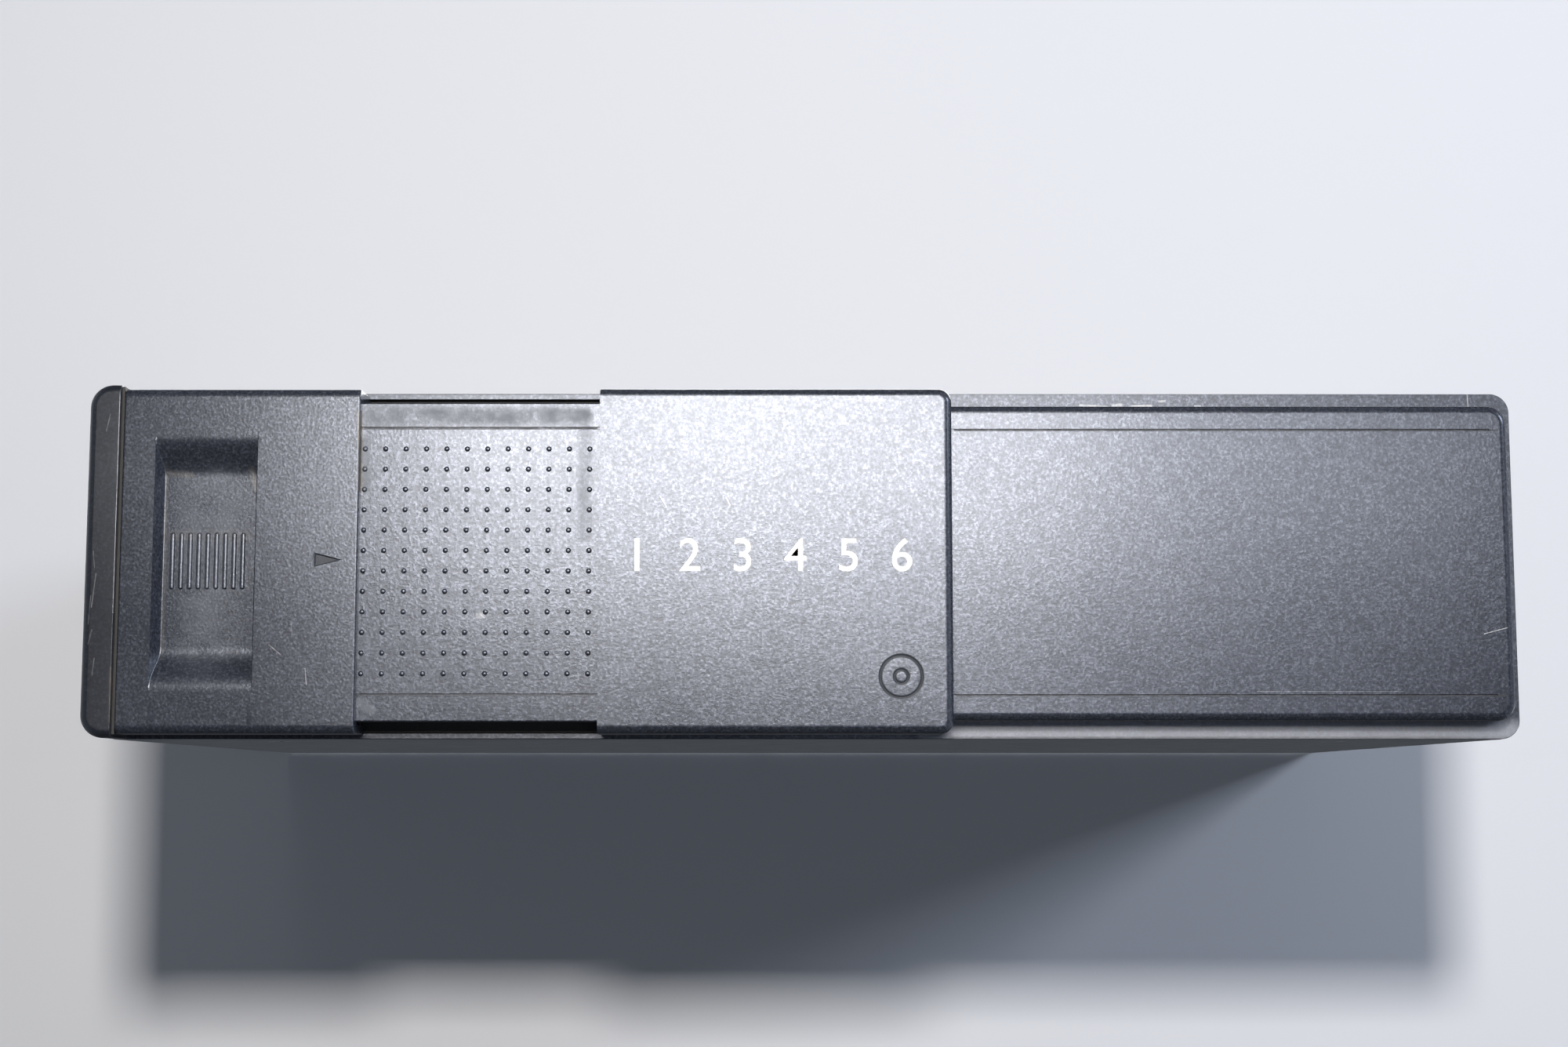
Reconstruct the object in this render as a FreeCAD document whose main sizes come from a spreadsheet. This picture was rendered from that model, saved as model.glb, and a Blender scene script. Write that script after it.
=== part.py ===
import FreeCAD, Part
import math
import os
import Sketcher

# A six-disc car changer with a two-leaf sliding front door.
# X runs to the right along the front, Y to the back, Z up. The origin is at
# the middle of the footprint, on the surface that the case stands on. Lengths in mm.

SIZES = {
    # the discs set the outer envelope, together with the room around the magazine
    "rear_space": 23.3,        # behind the magazine, to the back of the case
    "head_space": 7.5,         # above the magazine, to the top of the front
    "tray_travel": 111.5,
    "sheet": 1.0,              # steel sheet of the case and the frame
    "case_inset": 1.6,         # front moulding stands this far past the case sides
    "case_drop": 0.4,          # and this far above the lid
    "fold_gap": 0.1,           # between the lid and the folded flanges of the tray
    "flange_height": 12.0,
    # front door stack, from the label cover back to the flange of the bezel
    "cover_wall": 1.8,
    "door_gap": 0.6,
    "leaf_wall": 1.6,
    "slide_gap": 0.3,
    "rail_drop": 6.0,
    "flange_wall": 2.5,
    "grip_setback": 0.6,
    # front view, from the left end
    "cap_width": 5.6,
    "cap_gap": 0.6,
    "grip_width": 42.2,
    "leaf_travel": 42.5,
    "end_clear": 0.4,
    "button_room": 12.1,       # between the magazine opening and the fixed panel
    "leaf_overlap": 15.0,
    "panel_overlap": 4.7,
    "panel_inset": 2.2,
    "bar_inset": 3.1,
    "cover_inset": 0.7,
    "cover_side": 1.7,
    "cap_round": 4.0,
    "cover_round": 1.6,
    "panel_round": 3.4,
    "panel_edge": 1.5,
    "panel_wall": 2.0,
    "lip_depth": 1.2,
    "lip_width": 1.4,
    "lip_setback": 2.3,
    "slot_depth": 1.5,
    "line_width": 0.4,
    "line_depth": 0.3,
    "line_inset": 7.6,
    # thumb recess of the grip and its ribs
    "recess_left": 7.0,
    "recess_width": 17.8,
    "recess_margin": 8.2,
    "recess_ramp": 6.0,
    "recess_depth": 2.4,
    "rib_count": 9,
    "rib_pitch": 1.57,
    "rib_width": 0.7,
    "rib_length": 10.2,
    "rib_height": 0.4,
    "arrow_inset": 3.5,        # raised triangle, from the right edge of the grip
    "arrow_length": 4.5,
    "arrow_height": 2.4,
    "arrow_rise": 0.25,
    # raised pips of the sliding leaf
    "pip_count": 12,
    "pip_pitch_across": 3.66,
    "pip_pitch_up": 3.6,
    "pip_radius": 0.45,
    "pip_height": 0.35,
    # magazine bay
    "bay_side": 1.9,
    "bay_gap": 0.8,
    "float_travel": 1.2,
    "float_clear": 0.2,
    "magazine_setback": 1.7,
    "magazine_wall": 1.8,
    "magazine_roof": 1.4,
    "magazine_travel": 9.5,
    "run_gap": 0.3,
    "rib_thick": 1.0,
    "rib_reach": 1.8,
    # trays and discs
    "disc_radius": 60.0,
    "disc_hole": 7.5,
    "disc_thick": 1.2,
    "tray_count": 6,
    "tray_pitch": 7.0,
    "tray_plate": 1.2,
    "tray_lip": 1.4,
    "tray_rim": 1.5,
    "tray_tab": 4.0,
    "tray_slot": 17.0,
    "tray_eye": 17.0,
    "notch_width": 1.9,
    "notch_depth": 1.5,
    # floating frame
    "upper_floor": 9.0,
    "lower_floor": 2.8,
    "wall_gap": 2.0,           # floating frame to the case, sideways
    "bay_clear": 0.5,
    "rear_gap": 7.8,           # behind the magazine
    "frame_front": 0.2,
    # play deck
    "deck_gap": 1.4,
    "deck_plate": 1.2,
    "deck_clear": 0.5,
    "deck_bar": 7.0,
    "guide_gap": 0.4,
    "guide_wall": 1.3,
    "guide_height": 4.2,
    "bush_gap": 0.1,
    "post_radius": 1.5,
    "post_back": 3.3,
    "cam_thick": 1.2,
    "cam_gap": 0.4,
    "cam_run": 45.0,
    "cam_pin": 1.5,
    "cam_pin_height": 9.0,
    "cam_margin": 5.5,
    "cam_front_gap": 0.3,
    "cam_rear_gap": 2.0,
    "gear_module": 0.7,
    "lift_pinion_teeth": 12,
    "lift_gear_teeth": 26,
    "lift_motor_teeth": 10,
    "lift_motor_radius": 7.2,
    "lift_motor_height": 5.2,
    "lift_motor_offset": 10.9, # in front of the gear it drives
    "lift_axis_lead": 3.0,     # in front of the front cam pin
    "lift_axis_gap": 18.1,
    # traverse with the spindle and the optical pickup
    "traverse_rise": 2.6,
    "traverse_plate": 0.8,
    "traverse_level": 4.6,
    "traverse_pin": 1.25,
    "spindle_radius": 11.0,
    "spindle_flange": 13.0,
    "turntable_radius": 14.0,
    "turntable_face": 11.4,
    "cone_radius": 7.3,
    "cone_height": 1.9,
    "pickup_width": 21.2,
    "pickup_length": 16.0,
    "pickup_thick": 2.3,
    "lens_setback": 7.4,
    "lens_tower": 3.6,
    "pickup_start": 15.6,
    "pickup_travel": 33.0,
    "rod_radius": 0.8,
    "rod_spread": 8.1,
    "sled_module": 0.5,
    "sled_pinion_teeth": 14,
    "sled_gear_teeth": 32,
    "sled_motor_teeth": 12,
    "sled_motor_radius": 6.0,
    "sled_axis_lead": 30.4,    # behind the spindle
    "backlash": 0.12,
    # disc clamp
    "clamp_reach": 50.0,
    "clamp_pin_length": 20.0,
    "clamp_ear": 1.5,
    "clamp_barrel": 16.4,
    "puck_radius": 12.0,
    "puck_gap": 0.7,
    "hinge_pin": 0.5,
    "hinge_wall": 0.5,
    # suspension, dials, board and socket
    "damper_radius": 5.0,
    "damper_height": 6.0,
    "damper_bore": 3.2,
    "damper_pin": 1.5,
    "damper_pin_length": 5.1,
    "damper_back": 7.2,        # behind the rear wall of the floating frame
    "spring_wire": 0.45,
    "spring_radius": 6.2,
    "spring_turns": 4.0,
    "dial_radius": 8.5,
    "dial_gap": 0.3,
    "dial_inset": 42.5,        # from the back of the case
    "dial_z": 34.0,
    "screw_radius": 1.4,
    "screw_head": 2.7,
    "board_thick": 1.6,
    "board_level": 3.4,
    "socket_width": 36.0,
    "socket_height": 13.0,
    "socket_depth": 12.9,
    "socket_wall": 1.6,
    "socket_cavity": 9.0,
    "contact_count": 8,
    "contact_pitch": 3.6,
    "contact_width": 0.8,
    "socket_inset": 58.5,      # from the left end
    "button_width": 6.0,
    "button_height": 12.0,
    "button_travel": 2.5,
    "bracket_hole": 2.25,
    "bracket_spacing": 60.0,
    "bracket_height": 22.0,
    "floor_hole_across": 200.0,
    "floor_hole_along": 100.0,
}

doc = FreeCAD.newDocument("disc_changer")
sheet = doc.addObject("Spreadsheet::Sheet", "Sizes")
for row, (name, value) in enumerate(SIZES.items(), 1):
    sheet.set(f"A{row}", name)
    sheet.set(f"B{row}", str(value))
    sheet.setAlias(f"B{row}", name)
doc.recompute()


class Size:
    """A length that keeps the sheet formula it comes from."""

    def __init__(self, value, formula):
        self.value = value
        self.formula = formula

    def __add__(self, other):
        other = as_size(other)
        return Size(self.value + other.value, f"({self.formula} + {other.formula})")

    def __sub__(self, other):
        other = as_size(other)
        return Size(self.value - other.value, f"({self.formula} - {other.formula})")

    def __mul__(self, other):
        other = as_size(other)
        return Size(self.value * other.value, f"({self.formula} * {other.formula})")

    def __truediv__(self, other):
        other = as_size(other)
        return Size(self.value / other.value, f"({self.formula} / {other.formula})")

    def __radd__(self, other):
        return as_size(other) + self

    def __rsub__(self, other):
        return as_size(other) - self

    def __rmul__(self, other):
        return as_size(other) * self

    def __neg__(self):
        return Size(-self.value, f"(0 - {self.formula})")

    def root(self):
        return Size(math.sqrt(self.value), f"sqrt({self.formula})")


def as_size(number):
    """A plain number as a Size, so that both can be mixed in sums."""
    return number if isinstance(number, Size) else Size(float(number), repr(float(number)))


class SheetSizes:
    """Gives each sheet cell as a Size under its alias."""

    def __getattr__(self, alias):
        return Size(SIZES[alias], f"Sizes.{alias}")


s = SheetSizes()
nodes = []


def finish(piece, label):
    """Name a finished sub-part; its label is also its file name."""
    piece.Label = label
    nodes.append(piece)
    return piece


# --- primitives bound to the sheet ---------------------------------------------------

def place(piece, x, y, z):
    for axis, length in zip("xyz", (x, y, z)):
        piece.setExpression(f"Placement.Base.{axis}", as_size(length).formula)


def box(x0, x1, y0, y1, z0, z1):
    """A block between two corners."""
    piece = doc.addObject("Part::Box", "block")
    for name, low, high in (("Length", x0, x1), ("Width", y0, y1), ("Height", z0, z1)):
        piece.setExpression(name, (as_size(high) - low).formula)
    place(piece, x0, y0, z0)
    return piece


TURN = {"x": FreeCAD.Rotation(FreeCAD.Vector(0, 1, 0), 90),
        "y": FreeCAD.Rotation(FreeCAD.Vector(1, 0, 0), -90),
        "z": FreeCAD.Rotation()}


def rod(axis, x, y, z, length, radius):
    """A round bar that starts at a point and runs along an axis."""
    piece = doc.addObject("Part::Cylinder", "bar")
    piece.Placement = FreeCAD.Placement(FreeCAD.Vector(), TURN[axis])
    piece.setExpression("Radius", as_size(radius).formula)
    piece.setExpression("Height", as_size(length).formula)
    place(piece, x, y, z)
    return piece


def taper(x, y, z, height, low_radius, high_radius):
    """An upright cone frustum."""
    piece = doc.addObject("Part::Cone", "taper")
    piece.setExpression("Radius1", as_size(low_radius).formula)
    piece.setExpression("Radius2", as_size(high_radius).formula)
    piece.setExpression("Height", as_size(height).formula)
    place(piece, x, y, z)
    return piece


def fuse(*pieces):
    joined = doc.addObject("Part::MultiFuse", "joined")
    joined.Shapes = list(pieces)
    joined.Refine = True
    return joined


def cut(base, *tools):
    result = doc.addObject("Part::Cut", "cut")
    result.Base = base
    result.Tool = tools[0] if len(tools) == 1 else fuse(*tools)
    result.Refine = True
    return result


def group(*pieces):
    """Several separate solids kept in one sub-part."""
    together = doc.addObject("Part::Compound", "group")
    together.Links = list(pieces)
    return together


def rounded(piece, radius, wanted):
    """Round the edges of a piece that pass a test."""
    doc.recompute()
    result = doc.addObject("Part::Fillet", "rounded")
    result.Base = piece
    edges = [i for i, edge in enumerate(piece.Shape.Edges, 1) if wanted(edge)]
    result.Edges = [(i, radius.value, radius.value) for i in edges]
    return result


# --- bodies drawn as sketches --------------------------------------------------------

PLANES = {"XY": ("XY_Plane", 1), "XZ": ("XZ_Plane", -1), "YZ": ("YZ_Plane", 1)}


def new_body():
    return doc.addObject("PartDesign::Body", "body")


def outline(body, plane, level, *loops):
    """A sketch of closed loops at a level on a base plane, each corner bound to the sheet."""
    role, facing = PLANES[plane]
    sketch = body.newObject("Sketcher::SketchObject", "outline")
    origin = [feature for feature in body.Origin.OriginFeatures if feature.Role == role][0]
    sketch.AttachmentSupport = (origin, [""])
    sketch.MapMode = "FlatFace"
    level = as_size(level)
    offset = level if facing > 0 else -level
    sketch.setExpression("AttachmentOffset.Base.z", offset.formula)
    first = 0
    for loop in loops:
        corners = [(as_size(u), as_size(v)) for u, v in loop]
        points = [FreeCAD.Vector(u.value, v.value, 0) for u, v in corners]
        for start, end in zip(points, points[1:] + points[:1]):
            sketch.addGeometry(Part.LineSegment(start, end))
        for i in range(len(corners)):
            after = first + (i + 1) % len(corners)
            sketch.addConstraint(Sketcher.Constraint("Coincident", first + i, 2, after, 1))
        for i, corner in enumerate(corners):
            for kind, length in zip(("DistanceX", "DistanceY"), corner):
                index = sketch.addConstraint(
                    Sketcher.Constraint(kind, -1, 1, first + i, 1, length.value))
                sketch.setExpression(f"Constraints[{index}]", length.formula)
        first += len(corners)
    return sketch


def rectangle(u0, u1, v0, v1):
    return [(u0, v0), (u1, v0), (u1, v1), (u0, v1)]


def pad(body, plane, start, end, *loops):
    """Grow material from one level to a higher one along the plane's axis."""
    feature = body.newObject("PartDesign::Pad", "pad")
    feature.Profile = outline(body, plane, start, *loops)
    feature.setExpression("Length", (as_size(end) - start).formula)
    feature.Reversed = PLANES[plane][1] < 0
    body.Tip = feature
    return feature


def pocket(body, plane, start, end, *loops):
    """Take material away from one level to a higher one along the plane's axis."""
    feature = body.newObject("PartDesign::Pocket", "pocket")
    feature.Profile = outline(body, plane, start, *loops)
    feature.setExpression("Length", (as_size(end) - start).formula)
    feature.Reversed = PLANES[plane][1] > 0
    body.Tip = feature
    return feature


def turned(profile, x, y):
    """A body turned about an upright axis, from its half section (radius, height)."""
    body = new_body()
    sketch = outline(body, "XZ", 0.0, profile)
    feature = body.newObject("PartDesign::Revolution", "turned")
    feature.Profile = sketch
    feature.ReferenceAxis = (sketch, ["V_Axis"])
    feature.Angle = 360.0
    body.Tip = feature
    place(body, x, y, 0.0)
    return body


def soften(body, radius, wanted):
    """Fillet the edges of a body that pass a test."""
    doc.recompute()
    last = body.Tip
    names = [f"Edge{i}" for i, edge in enumerate(last.Shape.Edges, 1) if wanted(edge)]
    feature = body.newObject("PartDesign::Fillet", "fillet")
    feature.Base = (last, names)
    feature.setExpression("Radius", radius.formula)
    body.Tip = feature
    return feature


def runs_along(edge, axis):
    """Whether a straight edge is parallel to an axis."""
    box_of = edge.BoundBox
    spans = {"x": box_of.XLength, "y": box_of.YLength, "z": box_of.ZLength}
    return spans.pop(axis) > 0.01 and max(spans.values()) < 1e-6


def near(number, size):
    return abs(number - as_size(size).value) < 1e-4


# --- places that several pieces share ------------------------------------------------

tray_length = s.disc_radius * 2 + s.tray_rim * 2 + s.tray_tab
tray_depth = s.disc_radius * 2 + s.tray_rim * 2
magazine_height = s.magazine_wall + s.tray_count * s.tray_pitch + s.magazine_roof
door_depth = s.cover_wall + s.door_gap + s.leaf_wall + s.slide_gap + s.rail_drop + s.flange_wall
side_layers = (s.cam_gap * 2 + s.cam_thick + s.wall_gap + s.fold_gap + s.sheet * 3
               + s.case_inset)
overall_width = (s.cap_width + s.bay_side + s.magazine_wall + s.run_gap + tray_length
                 + s.tray_travel + s.bush_gap * 2 + side_layers)
overall_depth = (door_depth + s.magazine_setback + (s.magazine_wall + s.run_gap) * 2
                 + tray_depth + s.rear_space)
overall_height = s.upper_floor + s.sheet + s.run_gap + magazine_height + s.head_space

half_width = overall_width / 2
front = -overall_depth / 2
back = overall_depth / 2
top = overall_height

cover_back = front + s.cover_wall
leaf_front = cover_back + s.door_gap
leaf_back = leaf_front + s.leaf_wall
bar_front = leaf_back + s.slide_gap
rail_front = bar_front + s.rail_drop
flange_back = rail_front + s.flange_wall
grip_front = front + s.grip_setback

cap_right = s.cap_width - half_width
grip_left = cap_right + s.cap_gap
grip_right = grip_left + s.grip_width
cover_left = grip_right + s.leaf_travel + s.end_clear
opening_left = cap_right + s.bay_side - s.bay_gap
opening_right = cap_right + s.bay_side + s.magazine_wall + s.run_gap + tray_length + s.bay_gap
cover_right = opening_right + s.button_room + s.panel_overlap
leaf_right = cover_left + s.leaf_overlap
panel_left = cover_right - s.panel_overlap
panel_right = half_width - s.panel_inset
cover_travel = panel_right - cover_right - s.cap_gap

bar_bottom = s.bar_inset
bar_top = top - s.bar_inset
cover_bottom = s.cover_inset
cover_top = top - s.cover_inset
lip_front = bar_front + s.lip_setback

case_side = half_width - s.case_inset
lid_inner = case_side - s.sheet
flange_outer = lid_inner - s.fold_gap
flange_inner = flange_outer - s.sheet
lid_top = top - s.case_drop
lid_under = lid_top - s.sheet
wall_top = lid_under - s.fold_gap

magazine_left = cap_right + s.bay_side
magazine_front = flange_back + s.magazine_setback
floor_top = s.upper_floor + s.sheet
magazine_bottom = floor_top + s.run_gap
tray_left = magazine_left + s.magazine_wall + s.run_gap
tray_front = magazine_front + s.magazine_wall + s.run_gap
disc_x = tray_left + s.tray_rim + s.disc_radius
disc_y = tray_front + s.tray_rim + s.disc_radius
tray_right = disc_x + s.disc_radius + s.tray_rim + s.tray_tab
tray_back = disc_y + s.disc_radius + s.tray_rim
magazine_right = tray_right - s.tray_tab - s.bush_gap
magazine_back = tray_back + s.run_gap + s.magazine_wall
bay_floor = magazine_bottom + s.magazine_wall
tray_bottom = bay_floor + s.deck_clear
disc_level = tray_bottom + s.tray_plate
tray_top = disc_level + s.tray_lip
magazine_top = magazine_bottom + magazine_height
lift_travel = (s.tray_count - 1) * s.tray_pitch

opening_bottom = magazine_bottom - s.float_travel - s.float_clear
opening_top = magazine_top + s.float_travel + s.float_clear

frame_left = magazine_left - s.bay_clear - s.sheet
frame_right = flange_inner - s.wall_gap
frame_front = magazine_front + s.frame_front
frame_back = magazine_back + s.rear_gap
wall_right = frame_right - s.sheet
frame_top = magazine_top + s.run_gap
cam_outer = wall_right - s.cam_gap
cam_inner = cam_outer - s.cam_thick
deck_right = cam_inner - s.cam_gap
deck_left = tray_right + s.deck_gap
spin_x = disc_x + s.tray_travel
step_right = deck_left - s.deck_gap
step_left = step_right - s.sheet
deck_top = tray_bottom - s.deck_clear
deck_bottom = deck_top - s.deck_plate
guide_front = tray_front - s.guide_gap
guide_back = tray_back + s.guide_gap
deck_front = guide_front - s.guide_wall
deck_back = guide_back + s.guide_wall + s.rib_reach - s.rib_thick
cam_pin_front = frame_front + s.cam_front_gap + s.cam_margin + s.cam_run
cam_pin_rear = back - s.sheet - s.cam_rear_gap - s.cam_run - s.cam_margin
lift_axis_y = cam_pin_front - s.lift_axis_lead
sled_axis_y = disc_y + s.sled_axis_lead
dial_y = back - s.dial_inset
socket_x = s.socket_inset - half_width
post_y = deck_back + s.post_back
post_xs = (deck_left + 10.5, deck_right - 11.5)


# --- steel case ----------------------------------------------------------------------

screw_z = s.flange_height / 2
screw_ys = [flange_back + 14.0, as_size(12.0), back - 14.0]
bracket_ys = [s.bracket_spacing / -2, s.bracket_spacing / 2]


def side_holes(inner, outer, radius, ys, z):
    """Drilled holes through both side walls."""
    length = outer - inner
    starts = (inner, -outer)
    return [rod("x", start, y, z, length, radius) for y in ys for start in starts]


def chassis_tray():
    """Bottom pan with a full rear wall, low side flanges and bracket holes in the floor."""
    outer = box(-flange_outer, flange_outer, flange_back, back, 0.0, wall_top)
    inside = box(-flange_inner, flange_inner, flange_back - 1.0, back - s.sheet,
                 s.sheet, wall_top + 1.0)
    sides = [box(low, high, flange_back - 1.0, back - s.sheet, s.flange_height,
                 wall_top + 1.0)
             for low, high in ((-flange_outer - 1.0, 1.0 - flange_inner),
                               (flange_inner - 1.0, flange_outer + 1.0))]
    window = box(socket_x - s.slide_gap, socket_x + s.socket_width + s.slide_gap,
                 back - 2.0, back + 1.0, board_top - s.slide_gap,
                 board_top + s.socket_height + s.slide_gap)
    corners = [(across * s.floor_hole_across / 2, along * s.floor_hole_along / 2)
               for across in (-1, 1) for along in (-1, 1)]
    floor_holes = [rod("z", x, y, -1.0, s.sheet + 2.0, s.bracket_hole) for x, y in corners]
    taps = side_holes(flange_inner - 1.0, flange_outer + 1.0,
                      s.screw_radius + 0.05, screw_ys, screw_z)
    return finish(cut(outer, inside, *sides, window, *floor_holes, *taps), "chassis_tray")


def top_lid():
    """U-shaped lid that closes the top and both sides."""
    outer = box(-case_side, case_side, flange_back, back, s.case_drop, lid_top)
    inside = box(-lid_inner, lid_inner, flange_back - 1.0, back + 1.0,
                 s.case_drop - 1.0, lid_under)
    reach = (lid_inner - 1.0, case_side + 1.0)
    holes = side_holes(*reach, s.screw_radius + 0.2, screw_ys, screw_z)
    holes += side_holes(*reach, s.bracket_hole, bracket_ys, s.bracket_height)
    holes += side_holes(*reach, s.dial_radius + s.dial_gap, [dial_y], s.dial_z)
    windows = [box(low, low + s.sheet + 2.0, hook_front - s.slide_gap,
                   hook_back + s.slide_gap, hook_low - s.slide_gap, hook_high + s.slide_gap)
               for low in (-case_side - 1.0, lid_inner - 1.0)]
    return finish(cut(outer, inside, *holes, *windows), "top_lid")


def case_screws():
    """Six low-head screws that hold the lid to the tray."""
    length = case_side - flange_inner + 0.6
    head = s.case_inset - 0.5
    screws = []
    for y in screw_ys:
        for side in (-1, 1):
            shank_from = case_side - length if side > 0 else -case_side
            head_from = case_side if side > 0 else -case_side - head
            shank = rod("x", shank_from, y, screw_z, length, s.screw_radius)
            dome = rod("x", head_from, y, screw_z, head, s.screw_head)
            slot = box(head_from + (0.6 if side > 0 else -0.1),
                       head_from + head + (0.1 if side > 0 else -0.6),
                       y - 0.4, y + 0.4, screw_z - 2.0, screw_z + 2.0)
            cross = box(head_from + (0.6 if side > 0 else -0.1),
                        head_from + head + (0.1 if side > 0 else -0.6),
                        y - 2.0, y + 2.0, screw_z - 0.4, screw_z + 0.4)
            screws.append(cut(fuse(shank, dome), slot, cross))
    return finish(group(*screws), "case_screws")


# --- front moulding ------------------------------------------------------------------

hook_front = flange_back + 4.0
hook_back = flange_back + 8.0
hook_low = top / 2 - 3.0
hook_high = top / 2 + 3.0
tab_outer = flange_inner - s.bush_gap * 2
tab_inner = tab_outer - 1.4
button_x = (opening_right + panel_left) / 2
button_z = top / 2
button_front = bar_front + 0.8


def front_bezel():
    """Front frame: flange, end cap, guide bars round the magazine opening, snap tabs."""
    body = new_body()
    pad(body, "XZ", rail_front, flange_back, rectangle(-half_width, half_width, 0.0, top))
    pad(body, "XZ", bar_front, rail_front,
        rectangle(cap_right - 1.0, panel_left - s.slide_gap, bar_bottom, bar_top))
    pad(body, "XZ", front, rail_front, rectangle(-half_width, cap_right, 0.0, top))
    soften(body, s.cap_round, lambda edge: runs_along(edge, "y") and edge.BoundBox.YLength > 5
           and near(edge.BoundBox.XMin, -half_width))
    soften(body, s.panel_round, lambda edge: runs_along(edge, "y")
           and near(edge.BoundBox.XMin, half_width))
    pocket(body, "XZ", bar_front - 1.0, flange_back + 1.0,
           rectangle(opening_left, opening_right, opening_bottom, opening_top))
    groove_front = lip_front - s.slide_gap
    groove_back = lip_front + s.lip_width + s.slide_gap
    for low, high in ((bar_bottom - 1.0, bar_bottom + s.lip_depth),
                      (bar_top - s.lip_depth, bar_top + 1.0)):
        pocket(body, "XY", low, high,
               rectangle(cap_right, panel_left, groove_front, groove_back))
    for low, high in ((bar_bottom - 2.0, bar_bottom), (bar_top, bar_top + 2.0)):
        pocket(body, "XZ", rail_front, rail_front + s.slot_depth,
               rectangle(cap_right, panel_left, low, high))
    pocket(body, "XZ", bar_front - 1.0, flange_back + 1.0,
           rectangle(button_x - s.button_width / 2 - s.slide_gap,
                     button_x + s.button_width / 2 + s.slide_gap,
                     button_z - s.button_height / 2 - s.slide_gap,
                     button_z + s.button_height / 2 + s.slide_gap))
    for side in (-1, 1):
        inner, outer = (side * tab_inner, side * tab_outer)
        low, high = (inner, outer) if side > 0 else (outer, inner)
        pad(body, "XZ", flange_back, hook_back + 1.0,
            rectangle(low, high, hook_low - 3.0, hook_high + 3.0))
        tip = side * (lid_inner + s.sheet / 2)
        low, high = (outer, tip) if side > 0 else (tip, outer)
        pad(body, "XZ", hook_front, hook_back, rectangle(low, high, hook_low, hook_high))
    return finish(body, "front_bezel")


def fixed_panel():
    """Blank right-hand half of the front, a hollow moulding on the flange of the bezel."""
    body = new_body()
    pad(body, "XZ", bar_front, rail_front,
        rectangle(panel_left, panel_right, bar_bottom, bar_top))
    soften(body, s.panel_round, lambda edge: runs_along(edge, "y")
           and near(edge.BoundBox.XMin, panel_right))
    soften(body, s.panel_edge, lambda edge: near(edge.BoundBox.YMax, bar_front)
           and not near(edge.BoundBox.XMax, panel_left))
    pocket(body, "XZ", bar_front + s.panel_wall, rail_front + 1.0,
           rectangle(panel_left + s.panel_wall, panel_right - s.panel_wall - 1.0,
                     bar_bottom + s.panel_wall + s.lip_depth,
                     bar_top - s.panel_wall - s.lip_depth))
    groove_front = lip_front - s.slide_gap
    groove_back = lip_front + s.lip_width + s.slide_gap
    for low, high in ((bar_bottom - 1.0, bar_bottom + s.lip_depth),
                      (bar_top - s.lip_depth, bar_top + 1.0)):
        pocket(body, "XY", low, high,
               rectangle(panel_left - 1.0, panel_right + 1.0, groove_front, groove_back))
    for middle in (s.line_inset, top - s.line_inset):
        pocket(body, "XZ", bar_front - 1.0, bar_front + s.line_depth,
               rectangle(panel_left - 1.0, panel_right - s.panel_round,
                         middle - s.line_width / 2, middle + s.line_width / 2))
    return finish(body, "fixed_panel")


def slider_shell(left, right, face):
    """The channel that both door leaves share: a face, two side walls and their lips."""
    body = new_body()
    pad(body, "XZ", face, rail_front - s.slide_gap, rectangle(left, right, cover_bottom, cover_top))
    return body


def hollow_slider(body, left, right, inner_face):
    """Hollow the channel so that it fits round the guide bars and hooks into them."""
    lip_back = lip_front + s.lip_width
    lip_low = bar_bottom + s.lip_depth - s.slide_gap
    lip_high = bar_top - s.lip_depth + s.slide_gap
    wall_low = cover_bottom + s.cover_side
    wall_high = cover_top - s.cover_side
    pocket(body, "XZ", inner_face, lip_front, rectangle(left, right, wall_low, wall_high))
    pocket(body, "XZ", lip_front, lip_back, rectangle(left, right, lip_low, lip_high))
    pocket(body, "XZ", lip_back, rail_front + 1.0, rectangle(left, right, wall_low, wall_high))


def door_cover():
    """Outer sliding leaf: the plain cover that the other leaf slides under."""
    body = slider_shell(cover_left, cover_right, front)
    soften(body, s.cover_round * 1.5, lambda edge: runs_along(edge, "y")
           and near(edge.BoundBox.XMin, cover_right))
    soften(body, s.cover_round, lambda edge: near(edge.BoundBox.YMax, front)
           and not near(edge.BoundBox.XMax, cover_left))
    right_wall = cover_right - s.cover_wall
    hollow_slider(body, cover_left - 1.0, right_wall, cover_back)
    pocket(body, "XZ", leaf_back, rail_front + 1.0,
           rectangle(right_wall - 1.0, cover_right + 1.0,
                     cover_bottom + s.cover_side, cover_top - s.cover_side))
    return finish(body, "door_cover")


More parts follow.
